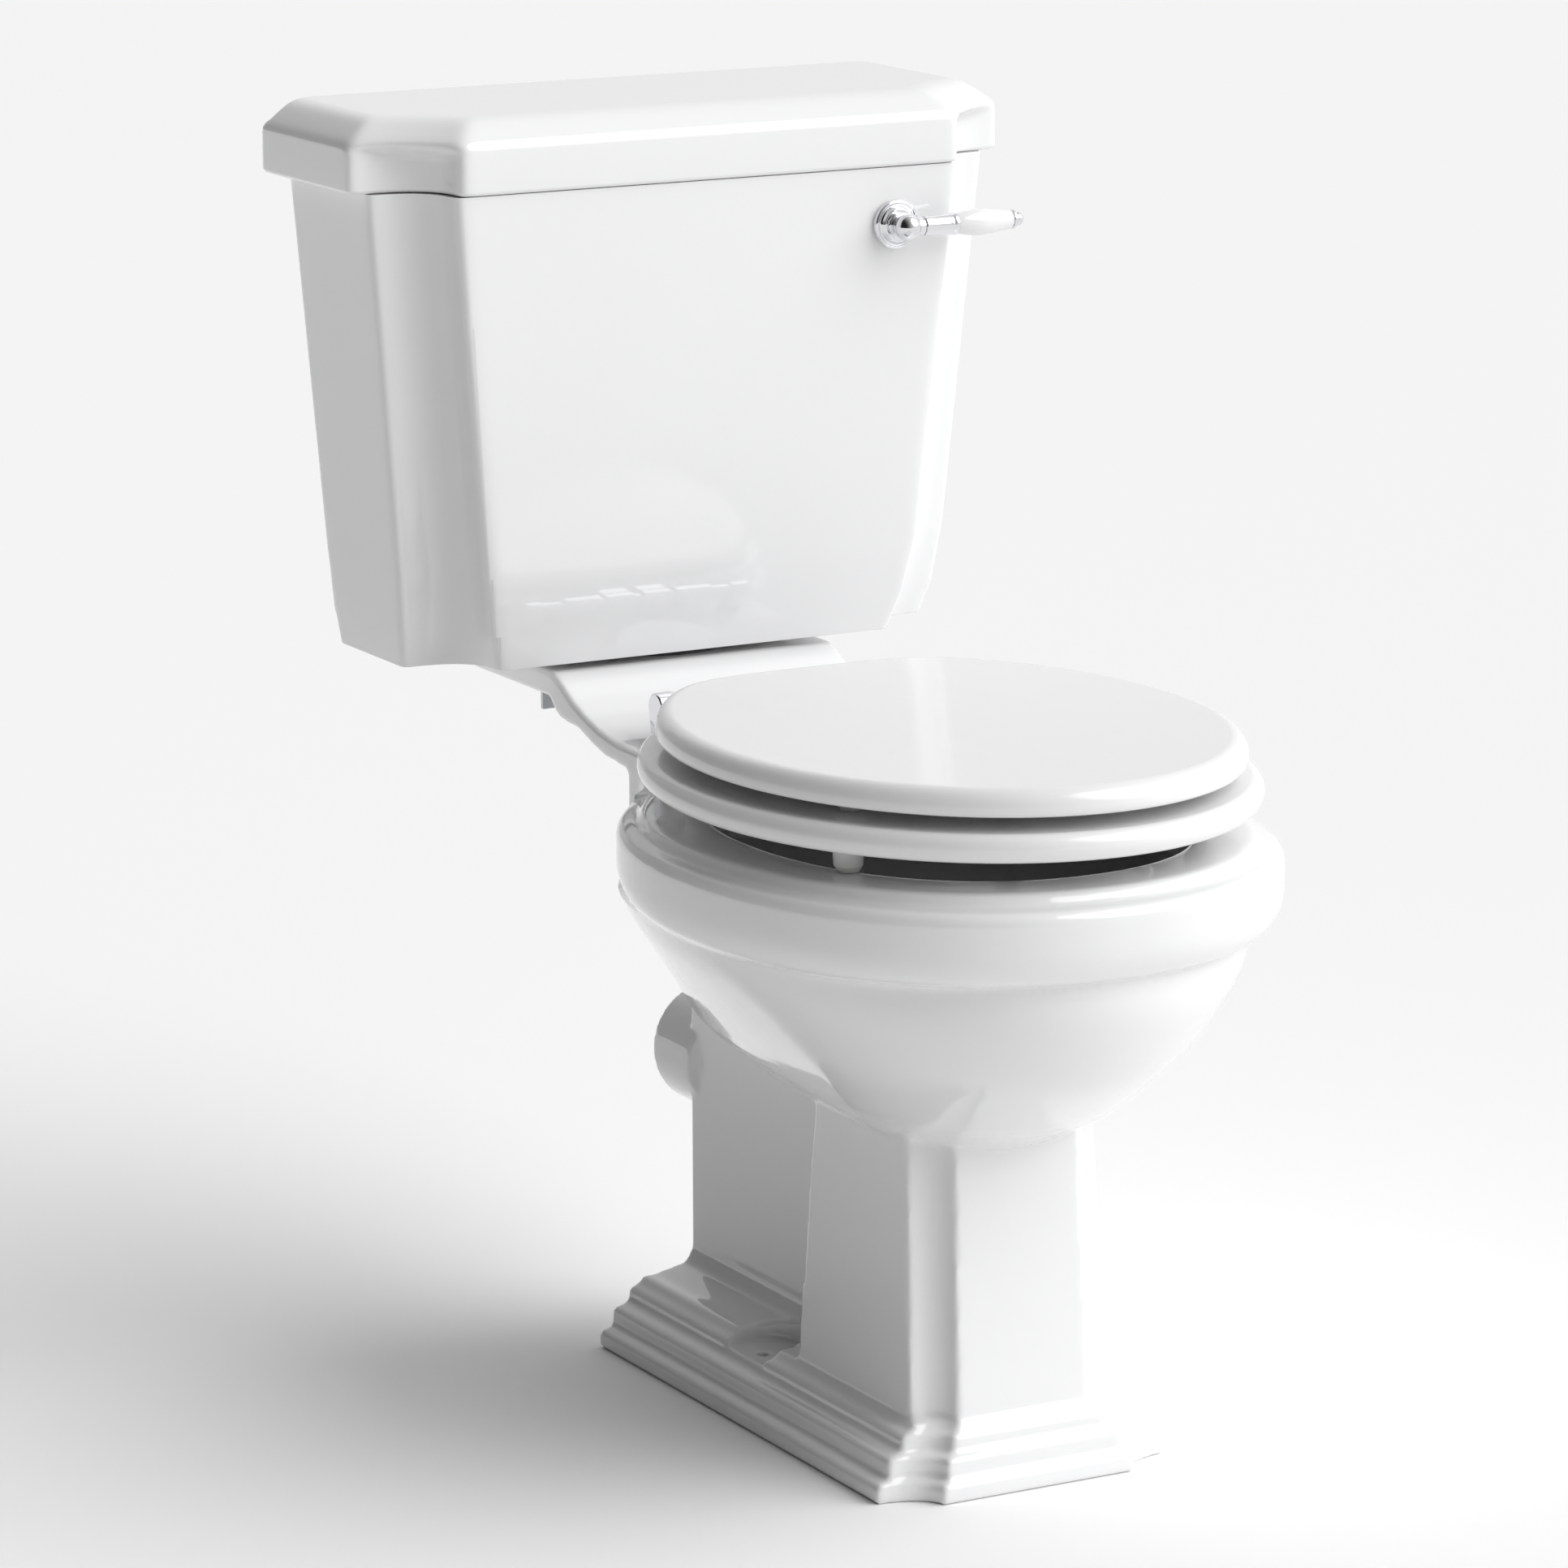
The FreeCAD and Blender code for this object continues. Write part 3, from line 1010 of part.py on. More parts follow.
def coupling_fixings():
    """Bolts from inside the cistern through the shelf, with washers and wing nuts."""
    bolts, rubbers, steels, nuts = [], [], [], []
    stack = THICK_RUBBER_T + STEEL_T
    head_r, head_h = COUPLING_HEAD
    head_z = BODY_INNER_FLOOR + stack
    for side in (-1, 1):
        at = Vector(side * COUPLING_X, FLUSH_Y, 0)
        for low in (BODY_INNER_FLOOR, SHELF_BOTTOM - THICK_RUBBER_T):
            rubbers.append(tube(COUPLING_WASHER_R, COUPLING_R, at + Z * low, Z, THICK_RUBBER_T))
        for low in (BODY_INNER_FLOOR + THICK_RUBBER_T, SHELF_BOTTOM - stack):
            steels.append(tube(COUPLING_WASHER_R - 1, COUPLING_R, at + Z * low, Z, STEEL_T))
        head = hexagon(head_r, at + Z * head_z, head_h)
        low = SHELF_BOTTOM - COUPLING_BELOW
        bolts.append(fuse([head, cylinder(COUPLING_R, at + Z * low, Z, head_z + 1 - low)]))
        nuts.append(wing_nut(at.x, at.y, SHELF_BOTTOM - stack, COUPLING_R))
    return group(bolts), group(rubbers), group(steels), group(nuts)


# ---- build and write --------------------------------------------------------------------------------

os.makedirs("parts", exist_ok=True)

save("pan", pan())
save("cistern_body", cistern_body())
save("cistern_lid", cistern_lid())

save("lever_rosette", lever_rosette())
lever_washer, lever_backnut = lever_nut_and_washer()
save("lever_washer", lever_washer)
save("lever_backnut", lever_backnut)
hub, sleeve, barrel, finial = lever_outside()
spindle, arm, arm_screw = lever_inside()
save("lever_hub", hub)
save("lever_sleeve", sleeve)
save("lever_handle", barrel)
save("lever_finial", finial)
save("lever_spindle", spindle)
save("lever_arm", arm)
save("lever_arm_screw", arm_screw)

save("siphon_body", siphon_body())
siphon_washer, siphon_backnut, doughnut_washer = siphon_tail_rings()
save("siphon_washer", siphon_washer)
save("siphon_backnut", siphon_backnut)
save("doughnut_washer", doughnut_washer)
siphon_plunger, siphon_diaphragm, lift_link = siphon_moving()
save("siphon_plunger", siphon_plunger)
save("siphon_diaphragm", siphon_diaphragm)
save("lift_link", lift_link)

valve_body, valve_washers, valve_nuts, float_pin, float_pivot = valve_pieces()
float_arm, float_ball = float_pieces(float_pivot)
save("valve_body", valve_body)
save("valve_washers", valve_washers)
save("valve_backnuts", valve_nuts)
save("float_pin", float_pin)
save("float_arm", float_arm)
save("float_ball", float_ball)

bolts, rubber_washers, steel_washers, coupling_nuts = coupling_fixings()
save("coupling_bolts", bolts)
save("coupling_rubber_washers", rubber_washers)
save("coupling_steel_washers", steel_washers)
save("coupling_wing_nuts", coupling_nuts)

ring_xs = (-RING_KNUCKLE_X, RING_KNUCKLE_X)
lid_xs = (-LID_KNUCKLE_X, LID_KNUCKLE_X)
save("seat_ring", seat_ring().cut([h for x in ring_xs for h in screw_pilots(x, RING_BOTTOM)]))
save("seat_lid", seat_lid().cut([h for x in lid_xs for h in screw_pilots(x, SEAT_LID_BOTTOM)]))
save("ring_buffers", buffers(RING_BUFFER_SHARE, RING_BOTTOM, RIM_TOP + FIT_GAP))
save("lid_buffers", buffers(LID_BUFFER_SHARE, SEAT_LID_BOTTOM, RING_TOP + FIT_GAP))
save("ring_brackets", group([bracket(x, RING_KNUCKLE_W, RING_BOTTOM, -ARM_DROP, BAR_R)
                             for x in ring_xs]))
save("lid_brackets", group([bracket(x, LID_KNUCKLE_W, SEAT_LID_BOTTOM, ARM_DROP, BAR_R + RUN_GAP)
                            for x in lid_xs]))
save("ring_bracket_screws", group([s for x in ring_xs for s in leaf_screws(x, RING_BOTTOM)]))
save("lid_bracket_screws", group([s for x in lid_xs for s in leaf_screws(x, SEAT_LID_BOTTOM)]))

save("hinge_bar", cylinder(BAR_R, Vector(-STUD_X, HINGE_Y, HINGE_Z), X, 2 * STUD_X))
save("hinge_pillars", group([hinge_pillar(-1), hinge_pillar(1)]))
hinge_studs, hinge_washers, hinge_nuts = seat_fixings()
save("hinge_studs", hinge_studs)
save("hinge_washers", hinge_washers)
save("hinge_wing_nuts", hinge_nuts)
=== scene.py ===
import json
import logging
import math
from dataclasses import dataclass
from enum import Enum
from typing import Callable, Sequence

import bmesh
import bpy
from mathutils import Matrix, Quaternion, Vector


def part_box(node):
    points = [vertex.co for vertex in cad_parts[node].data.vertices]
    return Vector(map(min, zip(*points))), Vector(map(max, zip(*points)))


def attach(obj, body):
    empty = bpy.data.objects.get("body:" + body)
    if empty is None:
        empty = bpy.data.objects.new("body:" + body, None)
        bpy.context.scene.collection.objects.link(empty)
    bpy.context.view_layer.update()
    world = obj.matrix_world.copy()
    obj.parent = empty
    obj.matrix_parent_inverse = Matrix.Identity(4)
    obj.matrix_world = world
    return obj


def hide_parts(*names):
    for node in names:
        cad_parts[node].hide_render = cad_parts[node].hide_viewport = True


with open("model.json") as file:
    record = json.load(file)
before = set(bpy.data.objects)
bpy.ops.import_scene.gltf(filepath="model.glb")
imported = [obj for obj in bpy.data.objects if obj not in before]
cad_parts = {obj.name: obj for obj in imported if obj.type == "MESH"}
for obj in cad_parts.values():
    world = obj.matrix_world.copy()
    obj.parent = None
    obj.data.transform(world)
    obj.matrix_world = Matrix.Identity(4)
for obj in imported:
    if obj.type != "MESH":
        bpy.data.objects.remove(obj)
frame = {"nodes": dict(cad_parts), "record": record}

# Close coupled toilet: glazed china, a painted wooden seat and chrome fittings, made around the
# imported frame. Metres. Distances called "out" are measured from the wall towards the front.

LOG = logging.getLogger("toilet")
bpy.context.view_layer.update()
WALL_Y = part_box("cistern_lid")[1].y

Outline = list[Vector]
Profile = Sequence[tuple[float, float]]
Levels = tuple[tuple[float, float, float, float], ...]


def at(x: float, out: float, z: float) -> Vector:
    """A point given by its distance out from the wall."""
    return Vector((x, WALL_Y - out, z))


class Side(Enum):
    """The two sides of the centre line."""

    LEFT = -1
    RIGHT = 1


class Way(Enum):
    """The directions that turned pieces point in."""

    RIGHT = (1, 0, 0)
    FRONT = (0, -1, 0)

    @property
    def vector(self) -> Vector:
        """The direction as a vector."""
        return Vector(self.value)


# ---- finishes ------------------------------------------------------------------------------


@dataclass(frozen=True)
class Finish:
    """A surface finish: a shader with fine variation of colour, gloss and relief.

    The colour drifts between two close shades, the roughness between two values, and a fine
    relief stands for the texture that the surface really has.
    """

    name: str
    shade: tuple[float, float, float]
    other_shade: tuple[float, float, float]
    roughness: tuple[float, float]
    metallic: float = 0.0
    ior: float = 1.5
    coat: float = 0.0
    drift_scale: float = 14.0
    relief_scale: float = 300.0
    relief: float = 0.02
    relief_depth: float = 0.0004
    stretch: tuple[float, float, float] = (1.0, 1.0, 1.0)

    def material(self) -> bpy.types.Material:
        """Builds the material.

        Returns:
            The new material, with every pattern on Object coordinates.
        """
        made = bpy.data.materials.new(self.name)
        made.use_nodes = True
        tree = made.node_tree
        shader = tree.nodes["Principled BSDF"]
        shader.inputs["Metallic"].default_value = self.metallic
        shader.inputs["IOR"].default_value = self.ior
        shader.inputs["Coat Weight"].default_value = self.coat
        shader.inputs["Coat Roughness"].default_value = 0.03
        place = self._placed(tree)
        drift = self._noise(tree, place, self.drift_scale, 3.0)
        tone = tree.nodes.new("ShaderNodeMix")
        tone.data_type = "RGBA"
        tone.inputs[6].default_value = (*self.shade, 1.0)
        tone.inputs[7].default_value = (*self.other_shade, 1.0)
        tree.links.new(drift.outputs["Fac"], tone.inputs[0])
        tree.links.new(tone.outputs[2], shader.inputs["Base Color"])
        self._spread_gloss(tree, place, shader)
        self._raise_relief(tree, place, shader)
        return made

    def _placed(self, tree: bpy.types.NodeTree) -> bpy.types.NodeSocket:
        """Object coordinates, stretched where the pattern has a direction."""
        where = tree.nodes.new("ShaderNodeTexCoord")
        mapping = tree.nodes.new("ShaderNodeMapping")
        mapping.inputs["Scale"].default_value = self.stretch
        tree.links.new(where.outputs["Object"], mapping.inputs["Vector"])
        return mapping.outputs["Vector"]

    def _noise(self, tree: bpy.types.NodeTree, place: bpy.types.NodeSocket, scale: float,
               detail: float) -> bpy.types.Node:
        """A noise texture at a scale in patterns a metre."""
        noise = tree.nodes.new("ShaderNodeTexNoise")
        noise.inputs["Scale"].default_value = scale
        noise.inputs["Detail"].default_value = detail
        tree.links.new(place, noise.inputs["Vector"])
        return noise

    def _spread_gloss(self, tree: bpy.types.NodeTree, place: bpy.types.NodeSocket,
                      shader: bpy.types.Node) -> None:
        """Lets the roughness wander between its two values."""
        patches = self._noise(tree, place, self.drift_scale * 5, 5.0)
        reach = tree.nodes.new("ShaderNodeMapRange")
        reach.inputs["From Min"].default_value = 0.3
        reach.inputs["From Max"].default_value = 0.7
        reach.inputs["To Min"].default_value = self.roughness[0]
        reach.inputs["To Max"].default_value = self.roughness[1]
        tree.links.new(patches.outputs["Fac"], reach.inputs["Value"])
        tree.links.new(reach.outputs["Result"], shader.inputs["Roughness"])

    def _raise_relief(self, tree: bpy.types.NodeTree, place: bpy.types.NodeSocket,
                      shader: bpy.types.Node) -> None:
        """Adds the fine relief through a bump node."""
        grain = self._noise(tree, place, self.relief_scale, 2.0)
        bump = tree.nodes.new("ShaderNodeBump")
        bump.inputs["Strength"].default_value = self.relief
        bump.inputs["Distance"].default_value = self.relief_depth
        tree.links.new(grain.outputs["Fac"], bump.inputs["Height"])
        tree.links.new(bump.outputs["Normal"], shader.inputs["Normal"])


FINISHES = {
    "china": Finish("white_glaze", (0.845, 0.850, 0.855), (0.830, 0.833, 0.835), (0.035, 0.07),
                    ior=1.54, coat=0.35, drift_scale=5.0, relief_scale=55.0, relief=0.05,
                    relief_depth=0.0003),
    "handle_ceramic": Finish("handle_glaze", (0.87, 0.87, 0.87), (0.84, 0.845, 0.85), (0.03, 0.06),
                             ior=1.54, coat=0.4, drift_scale=40.0, relief_scale=260.0,
                             relief=0.03, relief_depth=0.0001),
    "painted_wood": Finish("white_gloss_paint", (0.850, 0.850, 0.848), (0.838, 0.838, 0.834),
                           (0.10, 0.16), coat=0.25, drift_scale=9.0, relief_scale=420.0,
                           relief=0.06, relief_depth=0.0002, stretch=(1.0, 0.25, 1.0)),
    "chrome": Finish("bright_chrome", (0.80, 0.80, 0.82), (0.74, 0.75, 0.77), (0.02, 0.07),
                     metallic=1.0, drift_scale=60.0, relief_scale=900.0, relief=0.01),
    "steel": Finish("zinc_plated_steel", (0.58, 0.59, 0.61), (0.48, 0.49, 0.50), (0.24, 0.40),
                    metallic=1.0, drift_scale=120.0, relief_scale=1400.0, relief=0.08),
    "brass": Finish("dulled_brass", (0.70, 0.52, 0.25), (0.54, 0.38, 0.17), (0.20, 0.38),
                    metallic=1.0, drift_scale=70.0, relief_scale=1100.0, relief=0.08),
    "rubber": Finish("black_rubber", (0.035, 0.035, 0.035), (0.055, 0.054, 0.052), (0.55, 0.75),
                     drift_scale=90.0, relief_scale=1600.0, relief=0.20),
    "buffer_rubber": Finish("pale_rubber", (0.80, 0.80, 0.79), (0.75, 0.75, 0.74), (0.40, 0.55),
                            drift_scale=90.0, relief_scale=1500.0, relief=0.15),
    "foam_rubber": Finish("foam_rubber", (0.06, 0.06, 0.06), (0.10, 0.10, 0.10), (0.80, 0.95),
                          drift_scale=120.0, relief_scale=700.0, relief=0.50),
    "white_plastic": Finish("white_moulding", (0.78, 0.78, 0.76), (0.74, 0.74, 0.71), (0.28, 0.40),
                            drift_scale=30.0, relief_scale=1300.0, relief=0.10),
    "black_plastic": Finish("black_moulding", (0.030, 0.030, 0.033), (0.045, 0.045, 0.048),
                            (0.30, 0.45), drift_scale=60.0, relief_scale=1300.0, relief=0.12),
    "clear_sheet": Finish("flap_sheet", (0.66, 0.70, 0.72), (0.60, 0.64, 0.66), (0.18, 0.30),
                          drift_scale=60.0, relief_scale=800.0, relief=0.06),
    "float_plastic": Finish("float_moulding", (0.72, 0.24, 0.05), (0.66, 0.20, 0.04), (0.25, 0.40),
                            drift_scale=40.0, relief_scale=1200.0, relief=0.10),
}


class Finishes:
    """The finished materials by record slot, made once each."""

    def __init__(self) -> None:
        """Starts with no material made."""
        self._made: dict[str, bpy.types.Material] = {}

    def of(self, slot: str) -> bpy.types.Material:
        """The material of a slot, made when it is first asked for."""
        if slot not in self._made:
            self._made[slot] = FINISHES[slot].material()
        return self._made[slot]

    def dress_nodes(self) -> None:
        """Gives every CAD node the finish of its slot in the record."""
        for subpart in frame["record"]["subparts"]:
            node = frame["nodes"][subpart["node"]]
            node.data.materials.clear()
            node.data.materials.append(self.of(subpart["material_slot"]))

    def settle(self, made: bpy.types.Object, body: str, node: str, slot: str) -> bpy.types.Object:
        """Dresses a piece, evens its shading and puts it on its body.

        Args:
            made: The piece.
            body: The body that it rides on.
            node: The CAD node that it replaces.
            slot: The record slot whose finish it wears.

        Returns:
            The piece itself.
        """
        made.data.materials.append(self.of(slot))
        normals = made.modifiers.new("even_shading", "WEIGHTED_NORMAL")
        normals.keep_sharp = False
        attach(made, body)
        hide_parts(node)
        return made


# ---- mesh making -----------------------------------------------------------------------------


class Shape:
    """A mesh being made with bmesh operators."""

    def __init__(self) -> None:
        """Starts empty."""
        self.bm = bmesh.new()

    def ring(self, outline: Outline) -> list[bmesh.types.BMVert]:
        """The vertices of a closed loop of edges along an outline."""
        verts = [self.bm.verts.new(point) for point in outline]
        for pair in zip(verts, verts[1:] + verts[:1]):
            self.bm.edges.new(pair)
        return verts

    def edges_of(self, ring: Sequence[bmesh.types.BMVert]) -> list[bmesh.types.BMEdge]:
        """The edges round a loop of vertices."""
        return [self.bm.edges.get(pair) for pair in zip(ring, [*ring[1:], ring[0]])]

    def loft(self, outlines: Sequence[Outline], closed: bool = False) -> "Shape":
        """Extrudes each outline from the one before it.

        Args:
            outlines: The loops of equal count, from the first to the last.
            closed: Joins the last loop to the first; otherwise both ends are capped.

        Returns:
            The shape itself.
        """
        first = self.ring(outlines[0])
        last = first
        for outline in [*outlines[1:], *(outlines[:1] if closed else [])]:
            moved = bmesh.ops.extrude_edge_only(self.bm, edges=self.edges_of(last))["geom"]
            fresh = {part for part in moved if isinstance(part, bmesh.types.BMVert)}
            last = [next(edge.other_vert(vert) for edge in vert.link_edges
                         if edge.other_vert(vert) in fresh) for vert in last]
            for vert, point in zip(last, outline):
                vert.co = point
        if closed:
            bmesh.ops.remove_doubles(self.bm, verts=first + last, dist=1e-7)
        else:
            for end in (first, last):
                bmesh.ops.contextual_create(self.bm, geom=self.edges_of(end))
        self.face_outwards()
        return self

    def prism(self, outline: Outline, way: Vector) -> "Shape":
        """A flat outline extruded along a vector."""
        ring = self.edges_of(self.ring(outline))
        face = bmesh.ops.contextual_create(self.bm, geom=ring)["faces"]
        moved = bmesh.ops.extrude_face_region(self.bm, geom=face)
        verts = [part for part in moved["geom"] if isinstance(part, bmesh.types.BMVert)]
        bmesh.ops.translate(self.bm, verts=verts, vec=way)
        self.face_outwards()
        return self

    def block(self, half_width: float, first_out: float, last_out: float, z: float,
              height: float) -> "Shape":
        """A straight block across the centre line, between two distances from the wall."""
        plan = [at(-half_width, first_out, z), at(half_width, first_out, z),
                at(half_width, last_out, z), at(-half_width, last_out, z)]
        return self.prism(plan, Vector((0, 0, height)))

    def turn(self, profile: Profile, start: Vector, way: Vector, steps: int = 64) -> "Shape":
        """A turned piece.

        Args:
            profile: Pairs of distance along the axis and radius.
            start: The axis' first point.
            way: The axis' direction.
            steps: The number of facets round.

        Returns:
            The shape itself.
        """
        before = set(self.bm.verts)
        verts = [self.bm.verts.new((radius, 0, along)) for along, radius in profile]
        edges = [self.bm.edges.new(pair) for pair in zip(verts, verts[1:])]
        bmesh.ops.spin(self.bm, geom=verts + edges, axis=(0, 0, 1), cent=(0, 0, 0), steps=steps,
                       angle=math.tau, use_merge=True)
        new = [vert for vert in self.bm.verts if vert not in before]
        bmesh.ops.remove_doubles(self.bm, verts=new, dist=1e-6)
        new = [vert for vert in self.bm.verts if vert not in before]
        place = Matrix.Translation(start) @ way.to_track_quat("Z", "Y").to_matrix().to_4x4()
        bmesh.ops.transform(self.bm, matrix=place, verts=new)
        self.face_outwards()
        return self

    def rod(self, radius: float, start: Vector, end: Vector, steps: int = 48) -> "Shape":
        """A plain round rod between two points."""
        length = (end - start).length
        return self.turn(((0, 0), (0, radius), (length, radius), (length, 0)), start,
                         (end - start).normalized(), steps)

    def soften(self, offset: float, segments: int,
               wanted: Callable[[bmesh.types.BMEdge], bool]) -> "Shape":
        """Rounds the edges that a test picks out.

        Args:
            offset: How far the round reaches from the edge.
            segments: The number of facets across the round.
            wanted: True for an edge that is rounded.

        Returns:
            The shape itself.
        """
        edges = [edge for edge in self.bm.edges if edge.is_manifold and wanted(edge)]
        bmesh.ops.bevel(self.bm, geom=edges, offset=offset, offset_type="OFFSET", affect="EDGES",
                        segments=segments, profile=0.5, material=-1, clamp_overlap=True)
        return self

    def face_outwards(self) -> None:
        """Turns every face of a closed shape outwards."""
        bmesh.ops.recalc_face_normals(self.bm, faces=self.bm.faces)

    def to_object(self, name: str) -> bpy.types.Object:
        """Makes the object, at the origin and smooth shaded."""
        mesh = bpy.data.meshes.new(name)
        self.bm.to_mesh(mesh)
        self.bm.free()
        made = bpy.data.objects.new(name, mesh)
        bpy.context.scene.collection.objects.link(made)
        mesh.polygons.foreach_set("use_smooth", [True] * len(mesh.polygons))
        return made


def sharper_than(degrees: float) -> Callable[[bmesh.types.BMEdge], bool]:
    """A test for edges whose faces meet at more than an angle."""
    limit = math.radians(degrees)
    return lambda edge: edge.calc_face_angle(0.0) > limit


def oval(half_width: float, centre_out: float, front: float, rear: float, z: float,
         inset: float = 0.0, rear_cut: float | None = None,
         fullness: tuple[float, float] = (2.0, 2.0), steps: int = 128) -> Outline:
    """An egg outline of two half ellipses, a little squarer where asked.

    Args:
        half_width: Half the width across the centre.
        centre_out: The centre's distance from the wall.
        front: The reach to the front.
        rear: The reach to the rear.
        z: The height.
        inset: How far the outline is drawn in all round.
        rear_cut: The distance from the wall of a straight rear edge with soft corners.
        fullness: The exponents of the front and rear halves; 2 is a plain ellipse.
        steps: The number of points.

    Returns:
        The points, anticlockwise from above.
    """
    corner = 0.010
    points = []
    for k in range(steps):
        turn = math.tau * k / steps
        rearwards = math.sin(turn) > 0
        power = 2 / fullness[rearwards]
        across = math.copysign(abs(math.cos(turn)) ** power, math.cos(turn))
        along = math.copysign(abs(math.sin(turn)) ** power, math.sin(turn))
        out = centre_out - ((rear if rearwards else front) - inset) * along
        if rear_cut is not None:
            past = (rear_cut + inset - out) / corner
            out += corner * math.log1p(math.exp(min(past, 50.0)))
        points.append(at((half_width - inset) * across, out, z))
    return points


def coved(half_width: float, back_out: float, front_out: float, cove: tuple[float, float],
          z: float, depth: float = 2.0, steps: int = 12) -> Outline:
    """A rectangle whose front corners are scooped out.

    Args:
        half_width: Half the width.
        back_out: The back's distance from the wall.
        front_out: The front's distance from the wall.
        cove: The scoop's width and depth.
        z: The height.
        depth: The scoop's exponent; 2 is a plain quarter round, more is squarer.
        steps: The number of facets in a scoop.

    Returns:
        The points in order round the outline.
    """
    points = []
    for side in (Side.RIGHT.value, Side.LEFT.value):
        scoop = []
        for k in range(steps + 1):
            turn = math.pi / 2 * k / steps
            across, along = (max(part, 0.0) ** (2 / depth)
                             for part in (math.sin(turn), math.cos(turn)))
            scoop.append(at(side * (half_width - cove[0] * across), front_out - cove[1] * along, z))
        back = at(side * half_width, back_out, z)
        points += [back, *scoop] if side > 0 else [*reversed(scoop), back]
    return points


def eased(outline: Outline, radius: float, count: int = 400) -> Outline:
    """An outline resampled evenly, with its corners rounded to about a radius.

    Args:
        outline: The points in order round the outline.
        radius: How soft the corners become.
        count: The number of points wanted.

    Returns:
        The softened points in the same order.
    """
    ends = outline[1:] + outline[:1]
    gap = sum((end - start).length for start, end in zip(outline, ends)) / count
    points, ahead = [], 0.0
    for start, end in zip(outline, ends):
        length = (end - start).length
        while ahead < length and len(points) < count:
            points.append(start.lerp(end, ahead / length))
            ahead += gap
        ahead -= length
    for _ in range(round((radius / gap) ** 2)):
        points = [(before + 2 * point + after) / 4 for before, point, after
                  in zip(points[-1:] + points[:-1], points, points[1:] + points[:1])]
    return points


def through(levels: Sequence[Sequence[float]], height: float) -> list[float]:
    """The values at a height on a smooth curve through levels sorted by their first number."""
    last = len(levels) - 2
    k = next((i for i, level in enumerate(levels[1:]) if height <= level[0]), last)
    near = [levels[max(0, min(len(levels) - 1, k + step))] for step in (-1, 0, 1, 2)]
    span = near[2][0] - near[1][0]
    t = (height - near[1][0]) / span
    values = []
    for column in range(1, len(levels[0])):
        slopes = []
        for low, high in ((near[0], near[2]), (near[1], near[3])):
            slopes.append((high[column] - low[column]) / (high[0] - low[0]) * span)
        a, b = near[1][column], near[2][column]
        values.append((2 * t ** 3 - 3 * t ** 2 + 1) * a + (t ** 3 - 2 * t ** 2 + t) * slopes[0]
                      + (3 * t ** 2 - 2 * t ** 3) * b + (t ** 3 - t ** 2) * slopes[1])
    return values


def evenly(low: float, high: float, count: int) -> list[float]:
    """Values from low to high at even steps."""
    return [low + (high - low) * k / (count - 1) for k in range(count)]


def carve(body: bpy.types.Object, hollow: bpy.types.Object, crossing: bool = False) -> None:
    """Lets one object be cut out of another when its modifiers are applied.

    Args:
        body: The object that is cut.
        hollow: The object that is taken away.
        crossing: True where parts of either object cross each other.
    """
    cut = body.modifiers.new("hollow", "BOOLEAN")
    cut.operation = "DIFFERENCE"
    cut.solver = "EXACT"
    cut.use_self = crossing
    cut.object = hollow


def baked(thing: bpy.types.Object) -> bpy.types.Object:
    """Applies an object's modifiers to its mesh."""
    graph = bpy.context.evaluated_depsgraph_get()
    mesh = bpy.data.meshes.new_from_object(thing.evaluated_get(graph))
    thing.modifiers.clear()
    thing.data = mesh
    return thing


# ---- the pan ---------------------------------------------------------------------------------


